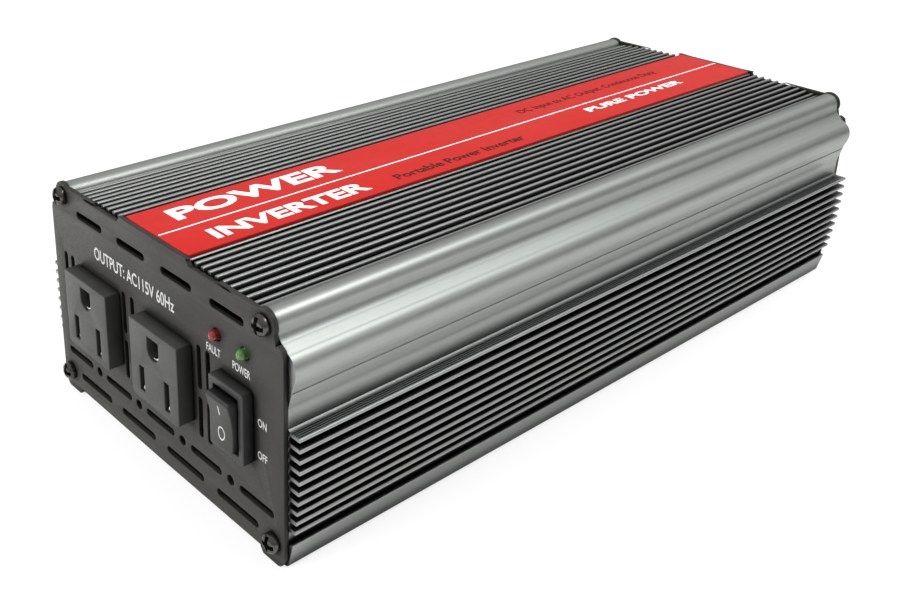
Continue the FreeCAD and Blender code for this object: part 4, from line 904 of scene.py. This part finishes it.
BLADE_HALF_GAP, BLADE_DROP, GROUND_RISE = 6.35, 5.3, 6.4
SLOT_WIDTH, LINE_SLOT, NEUTRAL_SLOT = 2.4, 7.9, 9.1
GROUND_WIDTH, GROUND_TALL = 5.8, 6.6
LIP_DEPTH, LIP_THICK = 0.7, 0.9
RIM_RADII = (1.6, 1.6, 0.5, 0.5)
OUTLET_BLOCK = 22.0
CHAMBER_WIDE, CHAMBER_TALL = 5.6, 10.0


def blade_slots(x):
    """Middle and height of an outlet's two slots; the neutral one is the taller."""
    return (x - BLADE_HALF_GAP, LINE_SLOT), (x + BLADE_HALF_GAP, NEUTRAL_SLOT)


def ground_hole(x):
    """Flat above, half round below."""
    middle = OUTLET_Z + GROUND_RISE
    half = GROUND_WIDTH / 2
    low = middle - GROUND_TALL / 2 + half
    return arc(x, low, half, 180, 360, 12) + rounded([(x + half, middle + GROUND_TALL / 2),
                                                      (x - half, middle + GROUND_TALL / 2)], 0.0)


def outlet(side, x):
    """Face with two blade slots and a ground hole, and the block with a chamber behind each of them."""
    face = outlet_low.y
    blade_z = OUTLET_Z - BLADE_DROP
    holes = [rectangle(middle, blade_z, SLOT_WIDTH, tall, 0.15, 2) for middle, tall in blade_slots(x)]
    holes.append(ground_hole(x))
    rim = rectangle(x, OUTLET_Z, outlet_high.x - outlet_low.x, outlet_high.z - outlet_low.z, RIM_RADII)
    front = plate(f"outlet_{side}_face", rim, holes, face, FRONT - face, 0.28)
    rooms = [rectangle(middle, blade_z, CHAMBER_WIDE, CHAMBER_TALL) for middle, tall in blade_slots(x)]
    rooms.append(rectangle(x, OUTLET_Z + GROUND_RISE, GROUND_WIDTH + 2.6, GROUND_TALL + 1.4))
    block = rectangle(x, OUTLET_Z, OUTLET_BLOCK, OUTLET_BLOCK, 0.6)
    back = plate(f"outlet_{side}_block", block, rooms, FRONT, outlet_high.y - FRONT, 0.15)
    finish_piece(join(f"outlet_{side}", [front, back]), "black_plastic", f"outlet_housing_{side}")


def contact_lips():
    """Flared lips of the contacts, just visible at the foot of every slot."""
    face = outlet_low.y + LIP_DEPTH
    lips = []
    for x in OUTLETS.values():
        for middle, tall in blade_slots(x):
            foot = OUTLET_Z - BLADE_DROP - tall / 2 + 0.04
            tip = [(middle - 1.15, foot), (middle + 1.15, foot), (middle + 0.5, foot + 1.4),
                   (middle - 0.2, foot + 1.4)]
            lips.append(plate(f"lip_{len(lips)}", rounded(tip, 0.25, 3), [], face, LIP_THICK, 0.12))
        half = GROUND_WIDTH / 2
        middle = OUTLET_Z + GROUND_RISE - GROUND_TALL / 2 + half
        sleeve = arc(x, middle, half - 0.04, 255, 320, 8) + arc(x, middle, half - 0.8, 320, 255, 8)
        lips.append(plate(f"lip_{len(lips)}", sleeve, [], face, LIP_THICK, 0.12))
    finish_piece(join("outlet_contact_lips", lips), "contact_metal")


# ---- switch

ROCKER_TALL = 15.4
ROCKER_HOLLOW = 0.75
WELL_WIDE, WELL_TALL = 10.6, 16.6
TUBE_DEPTH, TERMINAL_BASE = 12.0, 3.0


def switch_bezel():
    """Rim on the panel, tube behind it and a base with slots for the three terminals."""
    width, tall = switch_high.x - switch_low.x, switch_high.z - switch_low.z
    rim = rectangle(SWITCH_X, SWITCH_Z, width, tall, 0.7)
    well = rectangle(SWITCH_X, SWITCH_Z, WELL_WIDE, WELL_TALL, 0.3)
    behind = rectangle(SWITCH_X, SWITCH_Z, width - 2, tall - 2, 0.5)
    terminals = [rectangle(SWITCH_X, SWITCH_Z + level, 5.4, 1.2) for level in (-5, 0, 5)]
    bezel = plate("switch_bezel_rim", rim, [well], switch_low.y, FRONT - switch_low.y, 0.35)
    tube = plate("switch_bezel_tube", behind, [well], FRONT, TUBE_DEPTH, 0.15)
    floor = plate("switch_bezel_floor", behind, terminals, FRONT + TUBE_DEPTH, TERMINAL_BASE, 0.1)
    piece = join("switch_bezel", [bezel, tube, floor])
    finish_piece(piece, "black_plastic", "switch_housing", material="switch_plastic")


def rocker_face(share):
    """Point of the hollow rocker face: share 0 is the upper edge, 1 the lower edge."""
    half = ROCKER_TALL / 2
    upper = Vector((FRONT - 6.3, SWITCH_Z + half - 0.9))
    lower = Vector((FRONT - 5.1, SWITCH_Z - half + 0.5))
    hollow = ROCKER_HOLLOW * 4 * share * (1 - share)
    return upper.lerp(lower, share) + Vector((hollow, 0))


def rocker():
    """The rocker's side view, hollow face first, stretched over its width."""
    half = ROCKER_TALL / 2
    face = [tuple(rocker_face(index / 14)) for index in range(15)]
    back = [(-4.2, -half + 0.2), (2.6, -3.9), (5.2, -1.9), (5.2, 1.9), (2.6, 3.9), (-3.5, half - 0.3),
            (-5.6, half - 0.25)]
    body = [(FRONT + depth, SWITCH_Z + rise) for depth, rise in back]
    width = rocker_high.x - rocker_low.x
    piece = plate("rocker_cap", face + body, [], rocker_low.x, width, 0.3, "side", 34)
    finish_piece(piece, "black_plastic", "switch_rocker", body="rocker", material="switch_plastic")
    rocker_marks()


def rocker_marks():
    """The I and O printed on the hollow face, bent to follow it."""
    ring = [[(x, z * 1.3) for x, z in circle(0, 0, radius, 28)] for radius in (1.55, 1.2)]
    marks = (("rocker_mark_on", 3.6, rectangle(0, 0, 0.5, 2.8, 0.1, 2), []),
             ("rocker_mark_off", -3.5, ring[0], [ring[1]]))
    for name, rise, outline, holes in marks:
        mark = plate(name, outline, holes, 0, PRINT_THICK, 0.008)
        work = bmesh.new()
        work.from_mesh(mark.data)
        long_edges = [edge for edge in work.edges if edge.calc_length() > 0.6 * MM]
        bmesh.ops.subdivide_edges(work, edges=long_edges, cuts=5)
        for vert in work.verts:
            level = SWITCH_Z + rise + vert.co.z / MM
            top, foot = rocker_face(0).y, rocker_face(1).y
            face = rocker_face((top - level) / (top - foot)).x
            vert.co = (SWITCH_X * MM + vert.co.x, face * MM + vert.co.y - PRINT_THICK * 0.7 * MM, level * MM)
        work.to_mesh(mark.data)
        work.free()
        finish_piece(mark, "black_plastic", body="rocker", material="legend_ink")


# ---- status lights

def status_light(name, slot_name):
    """Domed lens with a collar behind the panel, and the bright cup of its chip inside."""
    x, z = LIGHTS[name]
    low, high = box_mm(name)
    collar = (high.x - low.x) / 2
    radius = collar - 0.4
    rise = FRONT - low.y - radius
    dome = arc(0, rise, radius, 0, 90, 9)
    profile = [(0, -7), (collar, -7), (collar, -6), (radius, -6)] + dome[:-1] + [(0, rise + radius)]
    piece = lathe(name + "_lens", profile, (x, FRONT, z), (0, -1, 0), 40)
    finish_piece(piece, slot_name, name)
    cup_profile = [(0, -2.5), (0.7, -2.5), (0.95, -0.6), (0.75, -0.6), (0.5, -1.1), (0, -1.1)]
    cup = lathe(name + "_die_cup", cup_profile, (x, FRONT, z), (0, -1, 0), 24)
    finish_piece(cup, "bright_steel")


# ---- DC terminals

KNOB_FLUTES, FLUTE_DEPTH, KNOB_BORE = 12, 0.85, 4.1
POST_RADIUS, THREAD_PITCH, THREAD_DEPTH = 3.98, 0.8, 0.22
COLLAR_START, COLLAR_END, COLLAR_HEX = 4.0, 7.0, 7.3


def threaded_post(pole):
    """Brass post: rounded hexagonal collar, thread beyond it and a chamfered end."""
    x, z = POSTS[pole]
    low, high = box_mm(f"{pole}_post")
    radius = POST_RADIUS
    start, end = low.y - REAR, high.y - REAR
    profile = [(0, start), (radius - 0.6, start), (radius, start + 0.6), (radius, COLLAR_END)]
    turns = int((end - 0.9 - COLLAR_END) / THREAD_PITCH)
    for turn in range(turns):
        foot = COLLAR_END + turn * THREAD_PITCH
        profile += [(radius - THREAD_DEPTH, foot + THREAD_PITCH * 0.3), (radius, foot + THREAD_PITCH * 0.7)]
    profile += [(radius - 0.1, end - 0.8), (radius - 0.8, end), (0, end)]
    post = lathe(f"{pole}_post_rod", profile, (x, REAR, z), (0, 1, 0), 48, 28)
    hexagon = rounded(circle(x, z, COLLAR_HEX, 6), 0.5, 4)
    collar = plate(f"{pole}_collar", hexagon, [], REAR + COLLAR_START, COLLAR_END - COLLAR_START, 0.25)
    finish_piece(join(f"{pole}_threaded_post", [post, collar]), "post_brass", f"{pole}_post")


def terminal_knob(pole, slot_name):
    """Moulded hand knob with soft flutes that run out before both ends, a through bore and a rounded rim."""
    x, z = POSTS[pole]
    low, high = box_mm(f"{pole}_knob")
    radius, length = (high.x - low.x) / 2, high.y - low.y
    bore = KNOB_BORE
    sections = [(bore, 0.0, 0), (radius - 2.2, 0.0, 0), (radius - 1.5, 0.15, 0), (radius - 0.5, 0.9, 0.35),
                (radius - 0.1, 1.6, 0.8), (radius, 2.4, 1), (radius, length * 0.5, 1),
                (radius, length - 3.4, 1), (radius - 0.15, length - 2.5, 0.9),
                (radius - 0.7, length - 1.5, 0.6), (radius - 1.7, length - 0.6, 0.25),
                (radius - 2.9, length - 0.1, 0), (radius - 3.5, length, 0), (bore + 0.4, length, 0),
                (bore, length - 0.4, 0)]
    steps = KNOB_FLUTES * 10

    def fluted(reach, flute):
        points = []
        for step in range(steps):
            angle = 2 * math.pi * step / steps
            dip = max(0.0, math.cos(KNOB_FLUTES * angle)) ** 0.8 * FLUTE_DEPTH * flute
            points.append((x + (reach - dip) * math.cos(angle), z + (reach - dip) * math.sin(angle)))
        return points

    def build(work):
        rings = [ring_at(work, low.y + along, fluted(reach, flute)) for reach, along, flute in sections]
        bridge(work, rings, rings[1:] + rings[:1])

    knob = link(f"{pole}_hand_knob", mesh_from(f"{pole}_hand_knob", build), 50)
    finish_piece(knob, slot_name, f"{pole}_knob", body=KNOB_BODIES[pole])


# ---- stage

FLOOR_CORNERS = [(-6, -6, 0), (6, -6, 0), (6, 6, 0), (-6, 6, 0)]
HORIZON_HEIGHT, ZENITH_HEIGHT = 0.05, 0.55
HORIZON_LEVEL, ZENITH_LEVEL = 0.24, 0.74
FLOOR_GLOW, FLOOR_WHITE = 0.72, 0.86
# the floor's tone in reflections from front to rear: painted shade that darkens towards the rear
BOUNCE_START, BOUNCE_END = 0.0, 0.7
BOUNCE_FRONT, BOUNCE_REAR = 0.70, 0.22


def stage():
    """A wide flat floor; its corners are in metres."""
    floor = bpy.data.meshes.new("floor")
    floor.from_pydata(FLOOR_CORNERS, [], [(0, 1, 2, 3)])
    floor.materials.append(pale_floor())
    add_object("floor", floor)


def studio_world():
    """White for the camera; for light and reflections a dome that is dark at the horizon and bright above."""
    world = bpy.data.worlds.new("studio")
    bpy.context.scene.world = world
    world.use_nodes = True
    sky = Wiring(world.node_tree)
    height = sky.along(sky.node("ShaderNodeTexCoord").outputs["Generated"], "Z")
    dome = sky.map_range(height, HORIZON_HEIGHT, ZENITH_HEIGHT, HORIZON_LEVEL, ZENITH_LEVEL, "SMOOTHSTEP")
    background = sky.tree.nodes["Background"]
    background.inputs["Color"].default_value = (1, 1, 1, 1)
    sky.wire(sky.seen_by_camera(dome, 1.0)[0], background.inputs["Strength"])


def pale_floor():
    """White sweep for the camera; for reflections a greyer one with painted shade that darkens it towards the
    rear.
    """
    pale = Surface("pale_floor", (FLOOR_WHITE, FLOOR_WHITE, FLOOR_WHITE), 0.7)
    painted_floor_shade = pale.map_range(pale.along(pale.place, "Y"), BOUNCE_START, BOUNCE_END, BOUNCE_FRONT, BOUNCE_REAR,
                            "SMOOTHSTEP")
    tone, ray = pale.seen_by_camera(painted_floor_shade, FLOOR_WHITE)
    pale.wire(tone, pale.shader.inputs["Base Color"])
    glow = pale.node("ShaderNodeEmission", Strength=1.0)
    blend = pale.node("ShaderNodeMixShader")
    pale.wire(pale.calculate("MULTIPLY", ray, FLOOR_GLOW), blend.inputs["Fac"])
    pale.wire(pale.shader.outputs[0], blend.inputs[1])
    pale.wire(glow.outputs[0], blend.inputs[2])
    pale.wire(blend.outputs[0], pale.tree.nodes["Material Output"].inputs["Surface"])
    return pale.material


def softbox(name, place, target, size, power, mirrored_in_gloss=True):
    """A rectangular lamp aimed at a point; places and sizes in metres, power in watts."""
    light = bpy.data.lights.new(name, "AREA")
    light.shape = "RECTANGLE"
    light.size, light.size_y = size
    light.energy = power
    lamp = add_object(name, light)
    lamp.location = place
    lamp.rotation_euler = (Vector(target) - Vector(place)).to_track_quat("-Z", "Y").to_euler()
    lamp.visible_glossy = mirrored_in_gloss


def lights():
    softbox("front", (-0.4, -1.2, 0.5), (0, -0.13, 0.03), (1.0, 0.6), 33, False)
    softbox("shoulder", (0.55, 0.50, 1.20), (0.05, -0.05, 0.06), (0.5, 0.5), 7)
    softbox("rear", (0.3, 1.6, 0.6), (0, 0.13, 0.04), (1.0, 0.6), 45, False)


CAMERA_PLACE = (0.2403, -0.2766, 0.2027)
CAMERA_AZIMUTH, CAMERA_ELEVATION, CAMERA_ROLL = 48.97, 21.83, 0.93
CAMERA_LENS = 45.1
CAMERA_SHIFT = (0.1174, -0.1417)


def camera():
    """The photo's viewpoint: place in metres, angles in degrees, lens in millimetres."""
    data = bpy.data.cameras.new("camera")
    data.lens = CAMERA_LENS
    data.clip_start = 0.01
    eye = add_object("camera", data)
    azimuth, elevation = math.radians(CAMERA_AZIMUTH), math.radians(CAMERA_ELEVATION)
    look = Vector((-math.sin(azimuth) * math.cos(elevation), math.cos(azimuth) * math.cos(elevation),
                   -math.sin(elevation)))
    turn = look.to_track_quat("-Z", "Y").to_matrix() @ Matrix.Rotation(math.radians(CAMERA_ROLL), 3, "Z")
    eye.matrix_world = Matrix.Translation(CAMERA_PLACE) @ turn.to_4x4()
    bpy.context.scene.camera = eye
    for channel, amount in zip(("shift_x", "shift_y"), CAMERA_SHIFT):
        shift_at_home(eye, channel, amount)


def shift_at_home(eye, channel, amount):
    """Shifts the lens only while the camera stands at its own place, so other views stay centred."""
    setattr(eye.data, channel, amount)
    driver = eye.data.driver_add(channel).driver
    east = driver.variables.new()
    east.name = "east"
    east.type = "TRANSFORMS"
    east.targets[0].id = eye
    east.targets[0].transform_type = "LOC_X"
    driver.expression = f"{amount} if abs(east - {CAMERA_PLACE[0]}) < 0.001 else 0.0"


# ---- build

dress_cad_nodes()
case_shells()
end_panels()
panel_screws()
label_film()
label_print()
front_legends()
for outlet_side, outlet_x in OUTLETS.items():
    outlet(outlet_side, outlet_x)
contact_lips()
switch_bezel()
rocker()
status_light("fault_light", "red_lens")
status_light("power_light", "green_lens")
for pole, knob_slot in (("positive", "red_plastic"), ("negative", "black_plastic")):
    threaded_post(pole)
    terminal_knob(pole, knob_slot)
rear_legends()
stage()
studio_world()
lights()
camera()
bpy.context.scene.view_settings.view_transform = "Standard"
